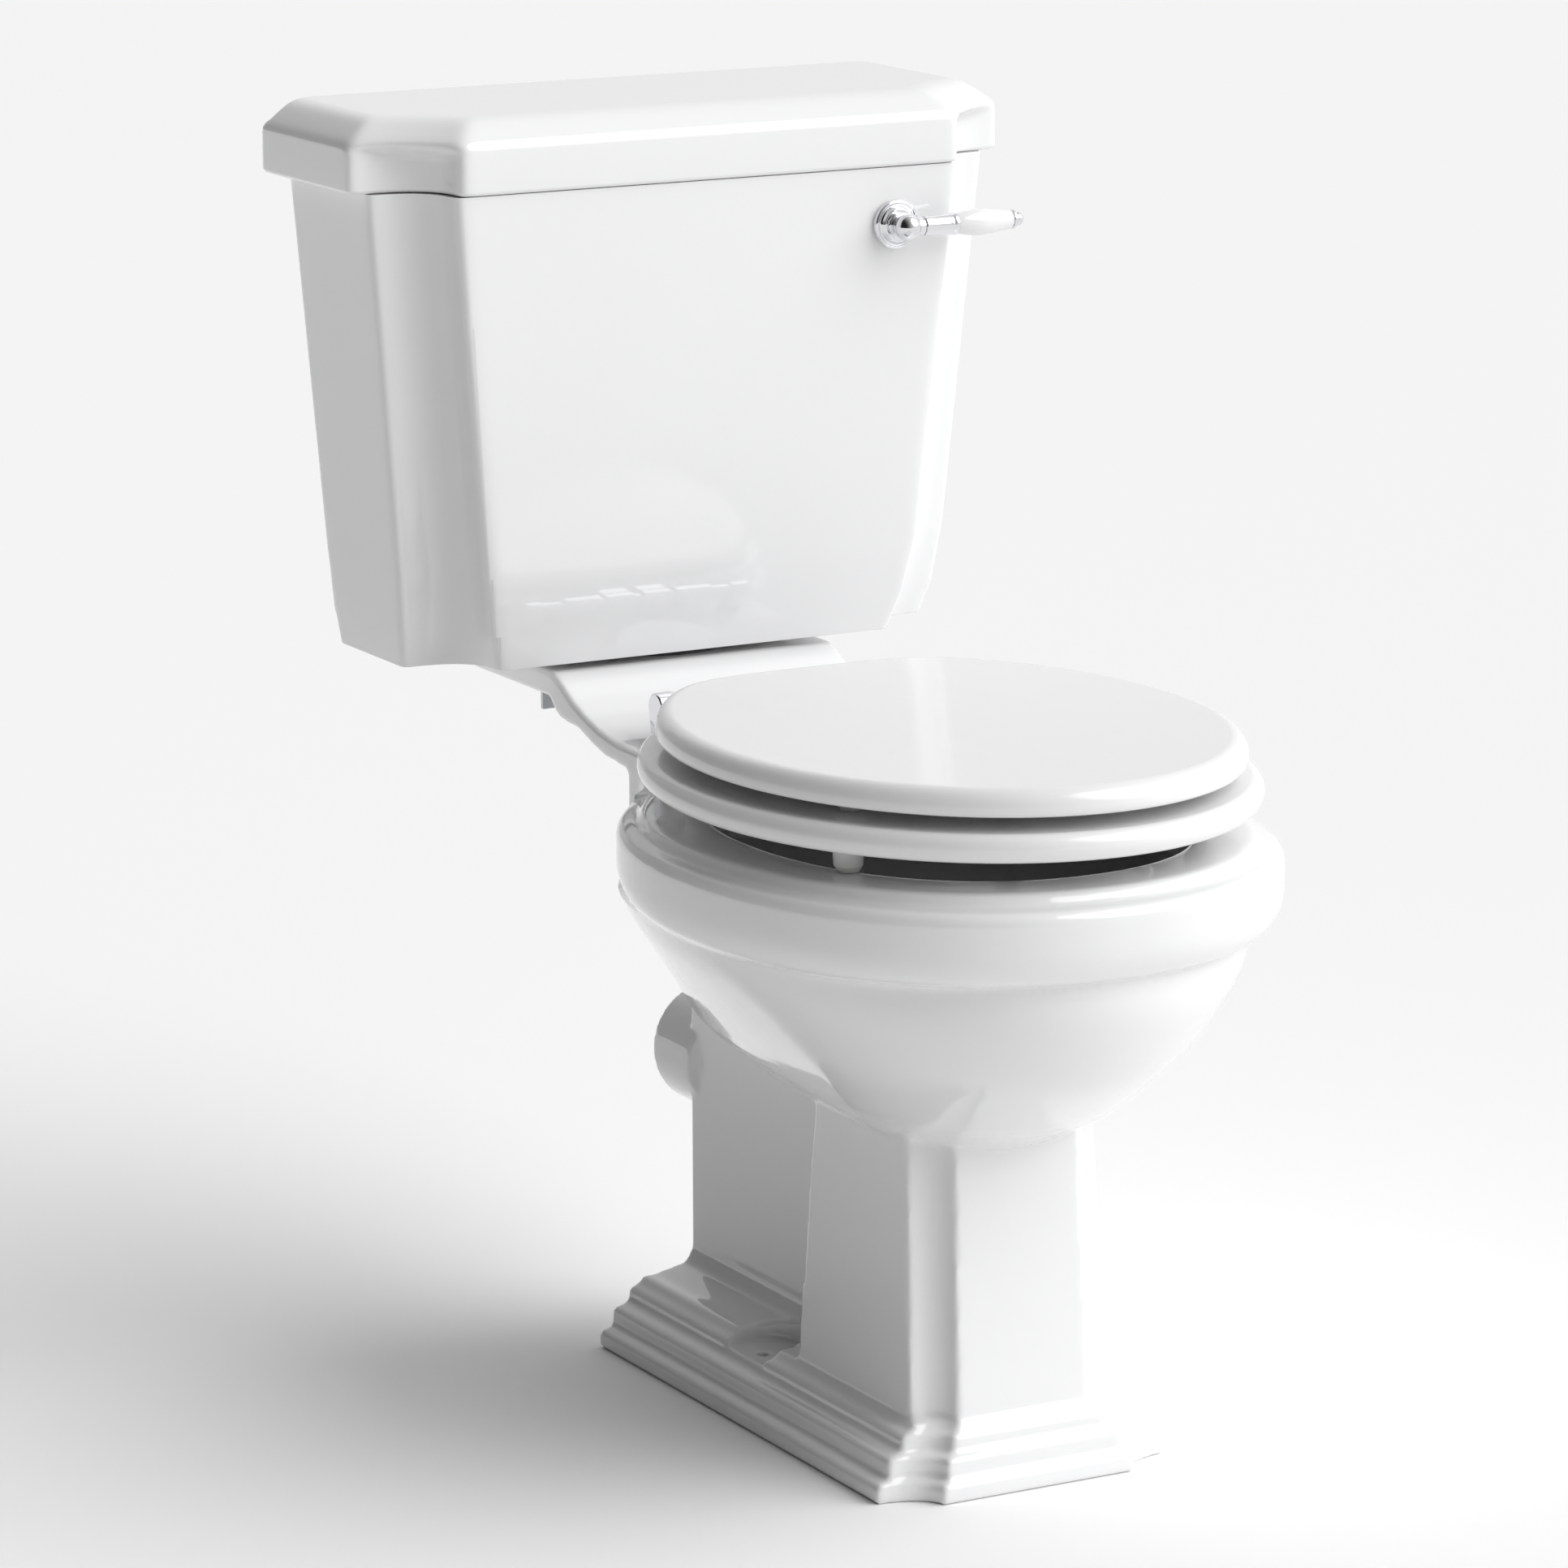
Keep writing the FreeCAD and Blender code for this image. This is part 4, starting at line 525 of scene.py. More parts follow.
@dataclass
class Pan:
    """The china pan: plinth, column, web, bowl, rim, shelf and outlet in one glazed body."""

    finishes: Finishes
    voxel: float = 0.002
    glaze_passes: int = 4
    triangles: int = 190_000
    rim_centre: float = 0.480
    rim_half_width: float = 0.196
    rim_reach: float = 0.231
    rim_bottom: float = 0.346
    rim_ledge: float = 0.395
    rim_top: float = 0.403
    rim_roll: tuple[float, float] = (0.018, 0.025)
    rim_fullness: tuple[float, float] = (2.16, 2.0)
    rim_edge: float = 0.008
    opening_in: float = 0.058
    bowl_length: float = 1.163
    wall: float = 0.012
    bowl_levels: Levels = (
        (0.205, 0.050, 0.500, 0.300), (0.232, 0.085, 0.516, 0.212), (0.250, 0.102, 0.5215, 0.204),
        (0.275, 0.1245, 0.524, 0.207), (0.300, 0.146, 0.5165, 0.214), (0.325, 0.167, 0.502, 0.228),
        (0.346, 0.1815, 0.483, 0.250))
    bowl_fullness: tuple[float, float] = (2.0, 2.4)
    plinth_half_width: float = 0.1042
    plinth_rear: float = 0.207
    plinth_front: float = 0.6016
    plinth_cove: tuple[float, float] = (0.035, 0.0208)
    plinth_profile: Profile = ((0.0, 0.0012), (0.0012, 0.0), (0.0095, 0.0), (0.0115, 0.0010),
                               (0.0130, 0.0040), (0.0138, 0.0086), (0.0150, 0.0096),
                               (0.0245, 0.0100), (0.0262, 0.0112), (0.0276, 0.0150),
                               (0.0290, 0.0205), (0.0302, 0.0216), (0.0365, 0.0222),
                               (0.0385, 0.0240), (0.0405, 0.0290), (0.0450, 0.0330))
    front_share: float = 0.57
    cove_share: float = 0.35
    column_cove: tuple[float, float] = (0.023, 0.018)
    column_levels: Levels = ((0.038, 0.0725, 0.418, 0.5825), (0.048, 0.0710, 0.419, 0.5813),
                             (0.240, 0.0670, 0.437, 0.5695))
    web_half_width: float = 0.0346
    web_front: float = 0.455
    web_foot: float = 0.04
    web_height: float = 0.300
    skirt_profile: Profile = ((-0.073, 0.043), (-0.040, 0.050), (-0.033, 0.062),
                              (0.033, 0.062), (0.040, 0.050), (0.073, 0.043))
    skirt_length: float = 0.200
    neck_levels: tuple[tuple[float, float, float, float, float], ...] = (
        (0.0346, 0.257, 0.052, 0.050, 0.320), (0.038, 0.215, 0.060, 0.055, 0.370),
        (0.044, 0.165, 0.062, 0.060, 0.4295))
    outlet_radius: float = 0.041
    outlet_bore: float = 0.031
    outlet_root: float = 0.010
    outlet_end: float = 0.164
    outlet_height: float = 0.187
    outlet_depth: float = 0.030
    shelf_half_width: float = 0.1055
    shelf_above: Profile = ((0.030, 0.446), (0.149, 0.446), (0.163, 0.4395), (0.176, 0.432),
                            (0.196, 0.4245), (0.216, 0.4193), (0.236, 0.4161), (0.258, 0.4150),
                            (0.286, 0.4145), (0.300, 0.406))
    shelf_below: Profile = ((0.300, 0.397), (0.255, 0.4005), (0.222, 0.4036), (0.206, 0.4075),
                            (0.186, 0.4145), (0.166, 0.416), (0.156, 0.418), (0.148, 0.424),
                            (0.144, 0.4285), (0.030, 0.4285))
    shelf_flare: Profile = ((0.1045, 0.255), (0.1050, 0.272), (0.1085, 0.285),
                            (0.1160, 0.297), (0.1300, 0.311))
    flare_foot: float = 0.372
    flare_height: float = 0.0262
    lip_depth: float = 0.030
    lip_round: float = 0.003
    lip_hollow: float = 0.008
    bowl_floor: float = 0.236
    sump_levels: Levels = (
        (0.054, 0.508, 0.058, 0.212), (0.046, 0.502, 0.047, 0.180), (0.036, 0.500, 0.036, 0.162))
    drain_radius: float = 0.025
    drain_ends: tuple[tuple[float, float], tuple[float, float]] = ((0.496, 0.190), (0.380, 0.238))
    foot_hollows: tuple[tuple[float, float, float], ...] = ((0.034, 0.465, 0.533),
                                                            (0.0226, 0.219, 0.404))
    foot_depth: float = 0.130
    below: float = 0.01
    seat_hole: tuple[float, float] = (0.0775, 0.254)
    seat_hole_radius: float = 0.0075
    floor_hole: tuple[float, float] = (0.068, 0.368)
    floor_hole_radius: float = 0.004
    screw_seat_radius: float = 0.027

    def build(self) -> bpy.types.Object:
        """Makes the pan, dresses it and lets it ride on the root body."""
        body = self._solids().to_object("pan_china")
        hollow = self._hollows().to_object("pan_hollow")
        carve(body, hollow, crossing=True)
        remesh = body.modifiers.new("skin", "REMESH")
        remesh.mode = "VOXEL"
        remesh.voxel_size = self.voxel
        baked(body)
        bpy.data.objects.remove(hollow)
        self._glaze(body)
        body.data.materials.append(self.finishes.of("china"))
        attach(body, "root")
        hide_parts("pan")
        return body

    def _glaze(self, body: bpy.types.Object) -> None:
        """Softens the skin as thick glaze does and thins its facets."""
        shape = bmesh.new()
        shape.from_mesh(body.data)
        for _ in range(self.glaze_passes):
            bmesh.ops.smooth_vert(shape, verts=shape.verts, factor=0.5, use_axis_x=True,
                                  use_axis_y=True, use_axis_z=True)
        shape.to_mesh(body.data)
        shape.free()
        count = sum(len(face.vertices) - 2 for face in body.data.polygons)
        if count > self.triangles:
            thin = body.modifiers.new("thin", "DECIMATE")
            thin.ratio = self.triangles / count
            baked(body)
        body.data.polygons.foreach_set("use_smooth", [True] * len(body.data.polygons))

    def _solids(self) -> Shape:
        """The china's outer forms, which overlap and are then fused."""
        shape = Shape()
        self._add_plinth(shape)
        self._add_bowl(shape)
        self._add_rim(shape)
        self._add_shelf(shape)
        shape.rod(self.outlet_radius,
                  at(0, self.plinth_rear + self.outlet_root, self.outlet_height),
                  at(0, self.outlet_end, self.outlet_height), 96)
        return shape

    def _add_plinth(self, shape: Shape) -> None:
        """The moulded foot, the coved column on it and the rear web."""
        last = self.plinth_profile[-1][1]
        outlines = []
        for z, step in self.plinth_profile:
            share = 1 - self.cove_share * step / last
            cove = (self.plinth_cove[0] * share, self.plinth_cove[1] * share)
            outlines.append(coved(self.plinth_half_width - step, self.plinth_rear,
                                  self.plinth_front - self.front_share * step, cove, z))
        shape.loft(outlines)
        shape.loft([coved(half, rear, front, self.column_cove, z)
                    for z, half, rear, front in self.column_levels])
        shape.block(self.web_half_width, self.web_front, self.plinth_rear, self.web_foot,
                    self.web_height)
        skirt = [at(x, self.plinth_rear, z) for x, z in self.skirt_profile]
        shape.prism(skirt, Vector((0, -self.skirt_length, 0)))
        shape.loft([oval(*level) for level in self.neck_levels])

    def _bowl_outline(self, z: float) -> Outline:
        """The bowl's outside at a height, full at the rear where it covers the trap."""
        half, centre, rear = through(self.bowl_levels, z)
        return oval(half, centre, half * self.bowl_length, centre - rear, z,
                    fullness=self.bowl_fullness)

    def _bowl_inside(self, z: float) -> Outline:
        """The bowl's inside at a height."""
        half, centre, _ = through(self.bowl_levels, z)
        reach = half * self.bowl_length
        return oval(half, centre, reach, reach, z, self.wall)

    def _add_bowl(self, shape: Shape) -> None:
        """The flared bowl under the rim."""
        low, high = self.bowl_levels[0][0], self.rim_bottom + 0.003
        shape.loft([self._bowl_outline(z) for z in evenly(low, high, 24)])

    def _rim_outline(self, inset: float, z: float) -> Outline:
        """The rim's outline, drawn in."""
        return oval(self.rim_half_width, self.rim_centre, self.rim_reach, self.rim_reach, z, inset,
                    fullness=self.rim_fullness)

    def _add_rim(self, shape: Shape) -> None:
        """The rolled rim with the raised step on its top."""
        (inwards, upwards), ledge, top = self.rim_roll, self.rim_ledge, self.rim_top
        profile = [(self.rim_bottom + upwards * (1 - math.cos(turn)),
                    inwards * (1 - math.sin(turn))) for turn in evenly(0, math.pi / 2, 9)]
        edge = self.rim_edge
        profile += [(ledge - edge + edge * math.sin(turn), edge * (1 - math.cos(turn)))
                    for turn in evenly(0, math.pi / 2, 6)]
        profile += [(ledge + 0.0008, 0.0125), (ledge + 0.003, 0.0145), (top - 0.0015, 0.0165),
                    (top, 0.0195), (top, 0.030)]
        shape.loft([self._rim_outline(inset, z) for z, inset in profile])

    def _add_shelf(self, shape: Shape) -> None:
        """The rear shelf, the slope down to the hinge deck and its flare into the rim."""
        profile = [at(-self.shelf_half_width, out, z)
                   for out, z in (*self.shelf_above, *self.shelf_below)]
        shape.prism(profile, Vector((2 * self.shelf_half_width, 0, 0)))
        plan = [at(x, out, self.flare_foot) for x, out in self.shelf_flare]
        plan += [at(-x, out, self.flare_foot) for x, out in reversed(self.shelf_flare)]
        shape.prism(plan, Vector((0, 0, self.flare_height)))

    def _hollows(self) -> Shape:
        """Everything that is cut out of the china."""
        shape = Shape()
        self._cut_bowl(shape)
        shape.rod(self.outlet_bore,
                  at(0, self.plinth_rear + self.outlet_depth, self.outlet_height),
                  at(0, self.outlet_end - self.below, self.outlet_height), 96)
        for half, rear, front in self.foot_hollows:
            shape.block(half, rear, front, -self.below, self.foot_depth)
        self._cut_holes(shape)
        return shape

    def _cut_bowl(self, shape: Shape) -> None:
        """The opening in the rim, the bowl with its sump, and the start of the drain."""
        top, lip = self.rim_top, self.rim_top - self.lip_depth
        narrow = self.opening_in - self.lip_round
        shape.loft([self._rim_outline(narrow, top + self.below),
                    self._rim_outline(narrow, top - 0.001),
                    self._rim_outline(self.opening_in, top - 0.006),
                    self._rim_outline(self.opening_in, lip - 0.002)])
        wide = self.wall + self.lip_hollow
        levels = [self._rim_outline(wide, lip), self._rim_outline(wide, self.rim_bottom + 0.006)]
        levels += [self._bowl_inside(z)
                   for z in evenly(self.rim_bottom - 0.014, self.bowl_floor, 16)]
        levels += [oval(half, centre, reach, reach, z)
                   for half, centre, reach, z in self.sump_levels]
        shape.loft(levels)
        start, end = (at(0, out, z) for out, z in self.drain_ends)
        shape.rod(self.drain_radius, start, end)

    def _cut_holes(self, shape: Shape) -> None:
        """The seat's bolt holes, and the floor's screw holes with a flat for each head."""
        for side in Side:
            x, out = side.value * self.seat_hole[0], self.seat_hole[1]
            shape.rod(self.seat_hole_radius, at(x, out, 0.37), at(x, out, 0.43))
            x, out = side.value * self.floor_hole[0], self.floor_hole[1]
            shape.rod(self.floor_hole_radius, at(x, out, -self.below), at(x, out, 0.036))
            shape.rod(self.screw_seat_radius, at(x, out, 0.034), at(x, out, 0.064), 64)


# ---- the cistern -----------------------------------------------------------------------------


@dataclass
class Cistern:
    """The china cistern and its loose lid."""

    finishes: Finishes
    back: float = 0.0144
    wall: float = 0.009
    floor: float = 0.012
    cove_depth: float = 0.041
    cove_squareness: float = 3.0
    cusp: float = 0.0060
    levels: Levels = (
        (0.0, 0.1957, 0.1545, 0.050), (0.024, 0.2003, 0.1625, 0.047),
        (0.064, 0.2048, 0.1690, 0.044), (0.3152, 0.2272, 0.1805, 0.042))
    lid_half_width: float = 0.240
    lid_depth: float = 0.1833
    lid_cove: tuple[float, float] = (0.057, 0.047)
    lid_profile: tuple[tuple[float, float, float], ...] = (
        (0.0, 0.0032, 3.0), (0.0010, 0.0010, 3.0), (0.0032, 0.0, 3.0), (0.0200, 0.0, 3.0),
        (0.0235, 0.0, 2.7), (0.0265, 0.0, 2.1), (0.0285, 0.0, 1.6), (0.0305, 0.0003, 1.32),
        (0.0330, 0.0016, 1.2), (0.0355, 0.0042, 1.15), (0.0385, 0.0080, 1.15),
        (0.0415, 0.0120, 1.15), (0.0440, 0.0156, 1.15), (0.0458, 0.0190, 1.15),
        (0.0470, 0.0225, 1.15), (0.0478, 0.0265, 1.15), (0.0481, 0.0310, 1.15))
    lid_wall: float = 0.012
    lid_hollow: tuple[float, float, float] = (0.030, 0.0264, 0.015)
    lid_cove_share: float = 0.3
    lid_back_inset: float = 0.004
    wall_hole: tuple[float, float] = (0.140, 0.705)
    wall_hole_radius: float = 0.004

    def build(self) -> list[bpy.types.Object]:
        """Makes the body and the lid."""
        return [self._body(), self._lid()]

    def _section(self, height: float, z: float, inset: float = 0.0) -> Outline:
        """The body's outline at a height above its bottom."""
        low = next(i for i in range(len(self.levels) - 2, -1, -1)
                   if height >= self.levels[i][0] or i == 0)
        a, b = self.levels[low], self.levels[low + 1]
        share = (height - a[0]) / (b[0] - a[0])
        half, front, cove = (p + share * (q - p) for p, q in zip(a[1:], b[1:]))
        return eased(coved(half - inset, self.back + inset, front - inset,
                           (cove, self.cove_depth), z, self.cove_squareness), self.cusp)

    def _body(self) -> bpy.types.Object:
        """The open china box."""
        low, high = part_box("cistern_body")
        bottom, top = low.z, high.z
        outer = (0.0, 0.024, 0.064, 0.15, 0.23, top - bottom)
        inner = (self.floor, 0.064, 0.15, 0.23, top - bottom)
        outlines = [self._section(h, bottom + h, self.wall) for h in inner]
        outlines += [self._section(h, bottom + h) for h in reversed(outer)]
        shape = Shape().loft(outlines)

        def upright(edge: bmesh.types.BMEdge) -> bool:
            """True for the cusps of the coves, the back corners and the bottom edges."""
            ends = [vert.co.z for vert in edge.verts]
            corner = edge.calc_face_angle(0.0) > math.radians(16)
            return corner and (abs(ends[0] - ends[1]) > 0.01 or max(ends) < bottom + 0.002)

        def brim(edge: bmesh.types.BMEdge) -> bool:
            """True for the edges of the open top."""
            level = min(vert.co.z for vert in edge.verts)
            return level > top - 0.0005 and edge.calc_face_angle(0.0) > 1.0

        shape.soften(0.0065, 5, upright).soften(0.0022, 3, brim)
        made = shape.to_object("cistern_china")
        self._drill(made)
        return self.finishes.settle(made, "root", "cistern_body", "china")

    def _drill(self, made: bpy.types.Object) -> None:
        """Cuts the two wall fixing holes through the back."""
        drills = Shape()
        for side in Side:
            x, z = side.value * self.wall_hole[0], self.wall_hole[1]
            drills.rod(self.wall_hole_radius, at(x, self.back - 0.01, z),
                       at(x, self.back + 0.02, z), 32)
        bits = drills.to_object("drills")
        carve(made, bits)
        baked(made)
        bpy.data.objects.remove(bits)

    def _lid(self) -> bpy.types.Object:
        """The lid: a soft bevel round its top and a hollow below."""
        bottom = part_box("cistern_lid")[0].z
        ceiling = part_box("cistern_lid")[1].z - self.lid_wall
        side, rear, front = self.lid_hollow
        hollow = [eased(coved(self.lid_half_width - side, rear, self.lid_depth - front,
                              self.lid_cove, z, self.cove_squareness), self.cusp)
                  for z in (ceiling, bottom)]
        outer = []
        for height, inset, squareness in self.lid_profile:
            less = self.lid_cove_share * inset
            cove = (self.lid_cove[0] - less, self.lid_cove[1] - less)
            plan = coved(self.lid_half_width - inset, min(inset, self.lid_back_inset),
                         self.lid_depth - inset, cove, bottom + height, squareness)
            outer.append(eased(plan, self.cusp))
        made = Shape().loft([*hollow, *outer]).to_object("cistern_lid_china")
        return self.finishes.settle(made, "cistern_lid_body", "cistern_lid", "china")


# ---- the seat --------------------------------------------------------------------------------


@dataclass
class Seat:
    """The painted wooden ring and lid."""

    finishes: Finishes
    centre: float = 0.489
    half_width: float = 0.1835
    front: float = 0.217
    rear: float = 0.232
    rear_edge: float = 0.291
    hole: tuple[float, float, float] = (0.108, 0.150, 0.140)
    lid_inset: float = 0.0115
    lid_front_inset: float = 0.0065
    edge: float = 0.0085
    lid_edge: float = 0.0115

    def build(self) -> list[bpy.types.Object]:
        """Makes the ring and the lid."""
        return [self._ring(), self._lid()]

    def _outer(self, inset: float, z: float) -> Outline:
        """The ring's outer outline, drawn in."""
        return oval(self.half_width, self.centre, self.front, self.rear, z, inset, self.rear_edge)

    def _ring(self) -> bpy.types.Object:
        """The ring, rounded inside and out."""
        low, high = (corner.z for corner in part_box("seat_ring"))
        turns = evenly(0, math.pi / 2, 7)
        edge = self.edge
        below, above = ([(base + up * edge * (1 - math.sin(t)), edge * (1 - math.cos(t)))
                         for t in turns] for base, up in ((low, 1), (high, -1)))
        outlines = [self._outer(inset, z) for z, inset in (*reversed(below), *above)]
        outlines += [oval(self.hole[0], self.centre, self.hole[1], self.hole[2], z, -inset)
                     for z, inset in (*reversed(above), *below)]
        made = Shape().loft(outlines, closed=True).to_object("seat_ring_wood")
        return self.finishes.settle(made, "seat_ring_body", "seat_ring", "painted_wood")

    def _lid(self) -> bpy.types.Object:
        """The lid, well rounded above and softly below."""
        low, high = (corner.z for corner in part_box("seat_lid"))
        profile = [(low, 0.0030), (low + 0.0009, 0.0010), (low + 0.0030, 0.0)]
        profile += [(high - self.lid_edge * (1 - math.sin(t)), self.lid_edge * (1 - math.cos(t)))
                    for t in evenly(0, math.pi / 2, 9)]
        outlines = []
        for z, inset in profile:
            outlines.append(oval(self.half_width - self.lid_inset, self.centre,
                                 self.front - self.lid_front_inset, self.rear - self.lid_inset, z,
                                 inset, self.rear_edge))
        made = Shape().loft(outlines).to_object("seat_lid_wood")
        return self.finishes.settle(made, "seat_lid_body", "seat_lid", "painted_wood")


# ---- the flush lever ---------------------------------------------------------------------------


@dataclass
class Lever:
    """The flush lever outside the cistern: rosette, hub, sleeve, ceramic barrel and finial."""

    finishes: Finishes
    x: float = 0.136
    out: float = 0.197
    z: float = 0.7285
    face_out: float = 0.1789
    ball_radius: float = 0.009
    edge: float = 0.0003

    def build(self) -> list[bpy.types.Object]:
        """Makes each turned piece."""
        hub = at(self.x, self.out, self.z)
        right = Way.RIGHT.vector
        return [
            self._piece("lever_rosette_chrome", self._rosette(), "root", "lever_rosette", "chrome"),
            self._piece("lever_hub_chrome", self._hub(hub), "lever_body", "lever_hub", "chrome"),
            self._piece("lever_sleeve_chrome", Shape().turn(
                ((0, 0.0), (0, 0.0062), (0.001, 0.0067), (0.018, 0.0069), (0.0195, 0.0073),
                 (0.0203, 0.0069), (0.0212, 0.0069), (0.0220, 0.0075), (0.0238, 0.0076),
                 (0.0250, 0.0070), (0.0250, 0.0)), hub + right * 0.011, right),
                "lever_body", "lever_sleeve", "chrome"),
            self._piece("lever_barrel_ceramic", Shape().turn(
                ((0, 0.0), (0, 0.0060), (0.0008, 0.0066), (0.004, 0.0074), (0.008, 0.0081),
                 (0.013, 0.0088), (0.017, 0.0090), (0.022, 0.0087), (0.028, 0.0079),
                 (0.034, 0.0071), (0.039, 0.0065), (0.0415, 0.0062), (0.042, 0.0055), (0.042, 0.0)),
                hub + right * 0.036, right), "lever_body", "lever_handle", "handle_ceramic"),
            self._piece("lever_finial_chrome", Shape().turn(
                ((0, 0.0), (0, 0.0062), (0.0004, 0.0066), (0.0018, 0.0066), (0.0024, 0.0060),
                 (0.0030, 0.0048), (0.0038, 0.0042), (0.0046, 0.0044), (0.0056, 0.0046),
                 (0.0068, 0.0043), (0.0080, 0.0034), (0.0088, 0.0020), (0.0090, 0.0)),
                hub + right * 0.078, right), "lever_body", "lever_finial", "chrome"),
        ]

    def _rosette(self) -> Shape:
        """The stepped escutcheon with a faceted nut in its middle."""
        shape = Shape()
        shape.turn(((0, 0.0), (0, 0.0152), (0.0006, 0.0162), (0.0020, 0.0165), (0.0044, 0.0165),
                    (0.0056, 0.0160), (0.0062, 0.0148), (0.0056, 0.0136), (0.0058, 0.0128),
                    (0.0072, 0.0120), (0.0088, 0.0112), (0.0092, 0.0102), (0.0092, 0.0)),
                   at(self.x, self.face_out - 0.0015, self.z), Way.FRONT.vector, 96)
        shape.turn(((0, 0.0), (0, 0.0092), (0.0016, 0.0092), (0.0022, 0.0084), (0.0022, 0.0)),
                   at(self.x, self.face_out + 0.0066, self.z), Way.FRONT.vector, 6)
        return shape

    def _hub(self, hub: Vector) -> Shape:
        """The ball on the spindle's end with its collar and side stub."""
        shape = Shape()
        ball = [(self.ball_radius * math.sin(turn), self.ball_radius * math.cos(turn))
                for turn in evenly(-math.pi / 2, math.pi / 2, 21)]
        shape.turn(ball, hub, Way.FRONT.vector)
        shape.turn(((0, 0.0), (0, 0.0062), (0.004, 0.0066), (0.0085, 0.0062), (0.0085, 0.0)),
                   at(self.x, self.face_out + 0.0090, self.z), Way.FRONT.vector)
        shape.rod(0.0060, hub, hub + Way.RIGHT.vector * 0.0108)
        return shape

    def _piece(self, name: str, shape: Shape, body: str, node: str,
               slot: str) -> bpy.types.Object:
        """Dresses a turned piece and puts it on its body."""
        made = shape.soften(self.edge, 2, sharper_than(40)).to_object(name)
        return self.finishes.settle(made, body, node, slot)


# ---- the hinge ---------------------------------------------------------------------------------


@dataclass
class Hinge:
    """The two tear drop pillars that carry the seat's bar."""

    finishes: Finishes
    out: float = 0.254
    axis_z: float = 0.439
    radius: float = 0.0095
    foot: float = 0.005
    width: float = 0.013
    edge: float = 0.0012

    def build(self) -> list[bpy.types.Object]:
        """Makes the pair of pillars as one piece."""
        low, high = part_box("hinge_pillars")
        drop = self.axis_z - low.z
        tangent = math.acos((self.radius - self.foot) / drop)
        shape = Shape()
        for x in (low.x, high.x - self.width):
            outline = [at(x, self.out - self.radius * math.sin(turn),
                          self.axis_z - self.radius * math.cos(turn))
                       for turn in evenly(tangent, math.tau - tangent, 40)]
            outline += [at(x, self.out + self.foot, low.z), at(x, self.out - self.foot, low.z)]
            shape.prism(outline, Vector((self.width, 0, 0)))
        made = shape.soften(self.edge, 3, sharper_than(50)).to_object("hinge_pillars_chrome")
        return [self.finishes.settle(made, "root", "hinge_pillars", "chrome")]


# ---- the studio ----------------------------------------------------------------------------------


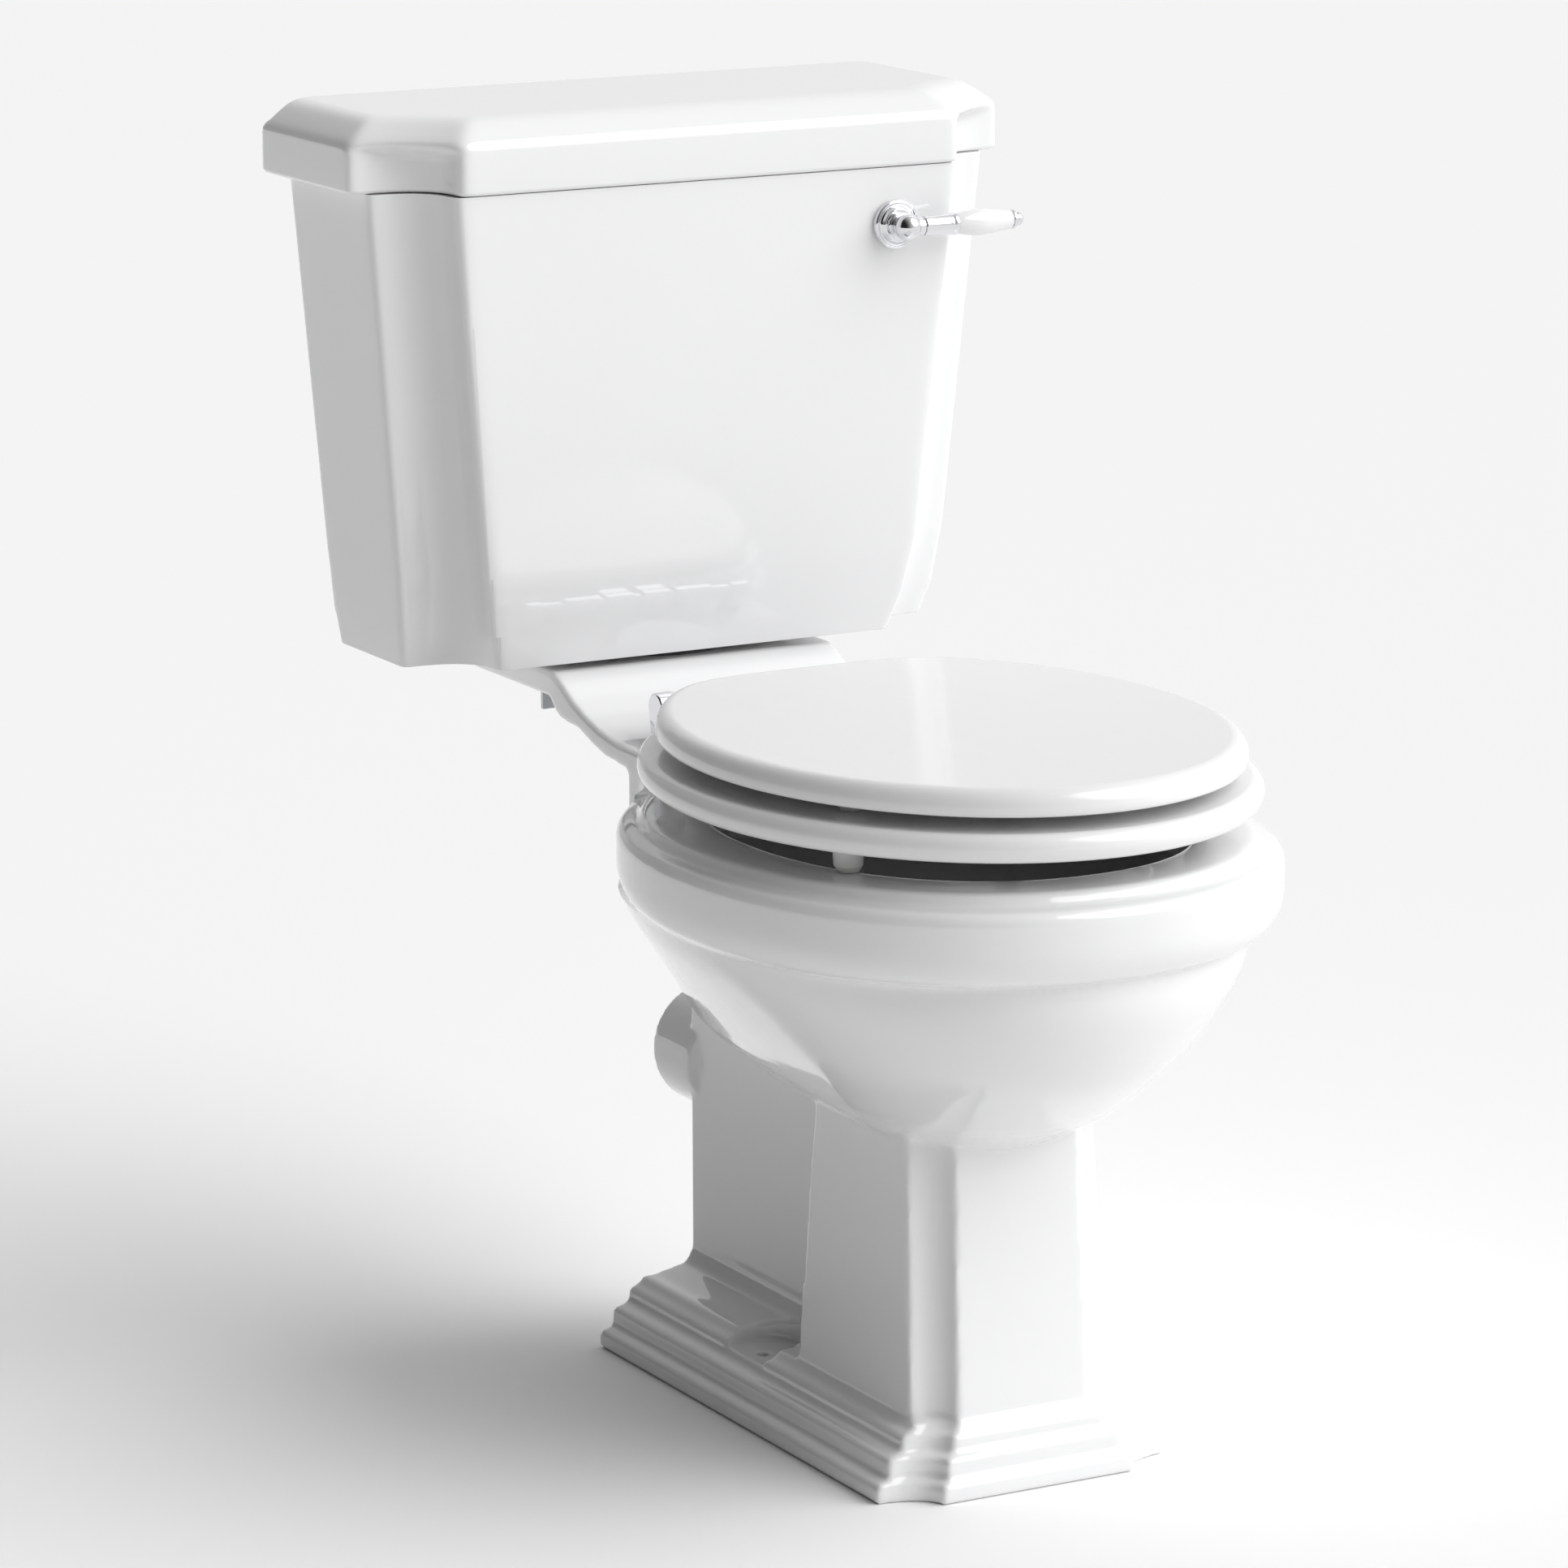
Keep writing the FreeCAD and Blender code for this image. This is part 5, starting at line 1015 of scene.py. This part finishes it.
@dataclass
class Studio:
    """A plain pale floor, soft light and the camera."""

    azimuth: float = -28.705
    elevation: float = 12.554
    roll: float = -0.153
    lens: float = 152.83
    camera_place: tuple[float, float, float] = (-2.0246, -3.6153, 1.3222)
    floor_radius: float = 60.0
    room_light: tuple[float, float] = (0.02, 0.86)
    key_from: tuple[float, float, float] = (0.60, -0.50, 0.62)
    key_power: float = 2.3
    key_spread: float = 60.0

    def build(self) -> None:
        """Makes everything that isn't the object."""
        self._camera()
        self._floor()
        self._world()
        self._key_lamp()
        bpy.context.scene.view_settings.view_transform = "Standard"

    def _camera(self) -> None:
        """The camera."""
        lens = bpy.data.cameras.new("camera")
        lens.lens = self.lens
        lens.sensor_width = 36.0
        camera = bpy.data.objects.new("camera", lens)
        turn, rise = math.radians(self.azimuth), math.radians(self.elevation)
        back = Vector((math.sin(turn) * math.cos(rise), -math.cos(turn) * math.cos(rise),
                       math.sin(rise)))
        aim = (-back).to_track_quat("-Z", "Y")
        camera.rotation_mode = "QUATERNION"
        camera.rotation_quaternion = aim @ Quaternion((0, 0, 1), math.radians(self.roll))
        camera.location = self.camera_place
        bpy.context.scene.collection.objects.link(camera)
        bpy.context.scene.camera = camera

    def _floor(self) -> None:
        """A wide pale floor."""
        shape = bmesh.new()
        bmesh.ops.create_circle(shape, cap_ends=True, segments=96, radius=self.floor_radius)
        mesh = bpy.data.meshes.new("floor")
        shape.to_mesh(mesh)
        shape.free()
        floor = bpy.data.objects.new("floor", mesh)
        bpy.context.scene.collection.objects.link(floor)
        made = bpy.data.materials.new("pale_floor")
        made.use_nodes = True
        shader = made.node_tree.nodes["Principled BSDF"]
        shader.inputs["Base Color"].default_value = (0.96, 0.96, 0.96, 1.0)
        shader.inputs["Roughness"].default_value = 0.9
        shader.inputs["Specular IOR Level"].default_value = 0.1
        mesh.materials.append(made)

    def _world(self) -> None:
        """Room light that fades from the right to the left."""
        world = bpy.data.worlds.new("room")
        bpy.context.scene.world = world
        world.use_nodes = True
        tree = world.node_tree
        place = tree.nodes.new("ShaderNodeTexCoord")
        split = tree.nodes.new("ShaderNodeSeparateXYZ")
        fade = tree.nodes.new("ShaderNodeMapRange")
        fade.interpolation_type = "SMOOTHSTEP"
        fade.inputs["From Min"].default_value = -0.75
        fade.inputs["From Max"].default_value = 0.55
        fade.inputs["To Min"].default_value = self.room_light[0]
        fade.inputs["To Max"].default_value = self.room_light[1]
        tree.links.new(place.outputs["Generated"], split.inputs["Vector"])
        tree.links.new(split.outputs["X"], fade.inputs["Value"])
        tree.links.new(fade.outputs["Result"], tree.nodes["Background"].inputs["Strength"])
        tree.nodes["Background"].inputs["Color"].default_value = (1.0, 1.0, 1.0, 1.0)

    def _key_lamp(self) -> None:
        """A large soft sun from the front right."""
        light = bpy.data.lights.new("key", "SUN")
        light.energy = self.key_power
        light.angle = math.radians(self.key_spread)
        lamp = bpy.data.objects.new("key", light)
        lamp.location = Vector(self.key_from) * 3
        lamp.rotation_mode = "QUATERNION"
        lamp.rotation_quaternion = (-Vector(self.key_from)).to_track_quat("-Z", "Y")
        bpy.context.scene.collection.objects.link(lamp)


def main() -> None:
    """Builds the studio and then each sub-assembly in order."""
    logging.basicConfig(level=logging.INFO, format="%(name)s: %(message)s")
    Studio().build()
    finishes = Finishes()
    finishes.dress_nodes()
    made = [Pan(finishes).build()]
    for maker in (Cistern, Seat, Lever, Hinge):
        made += maker(finishes).build()


if __name__ == "__main__":
    main()
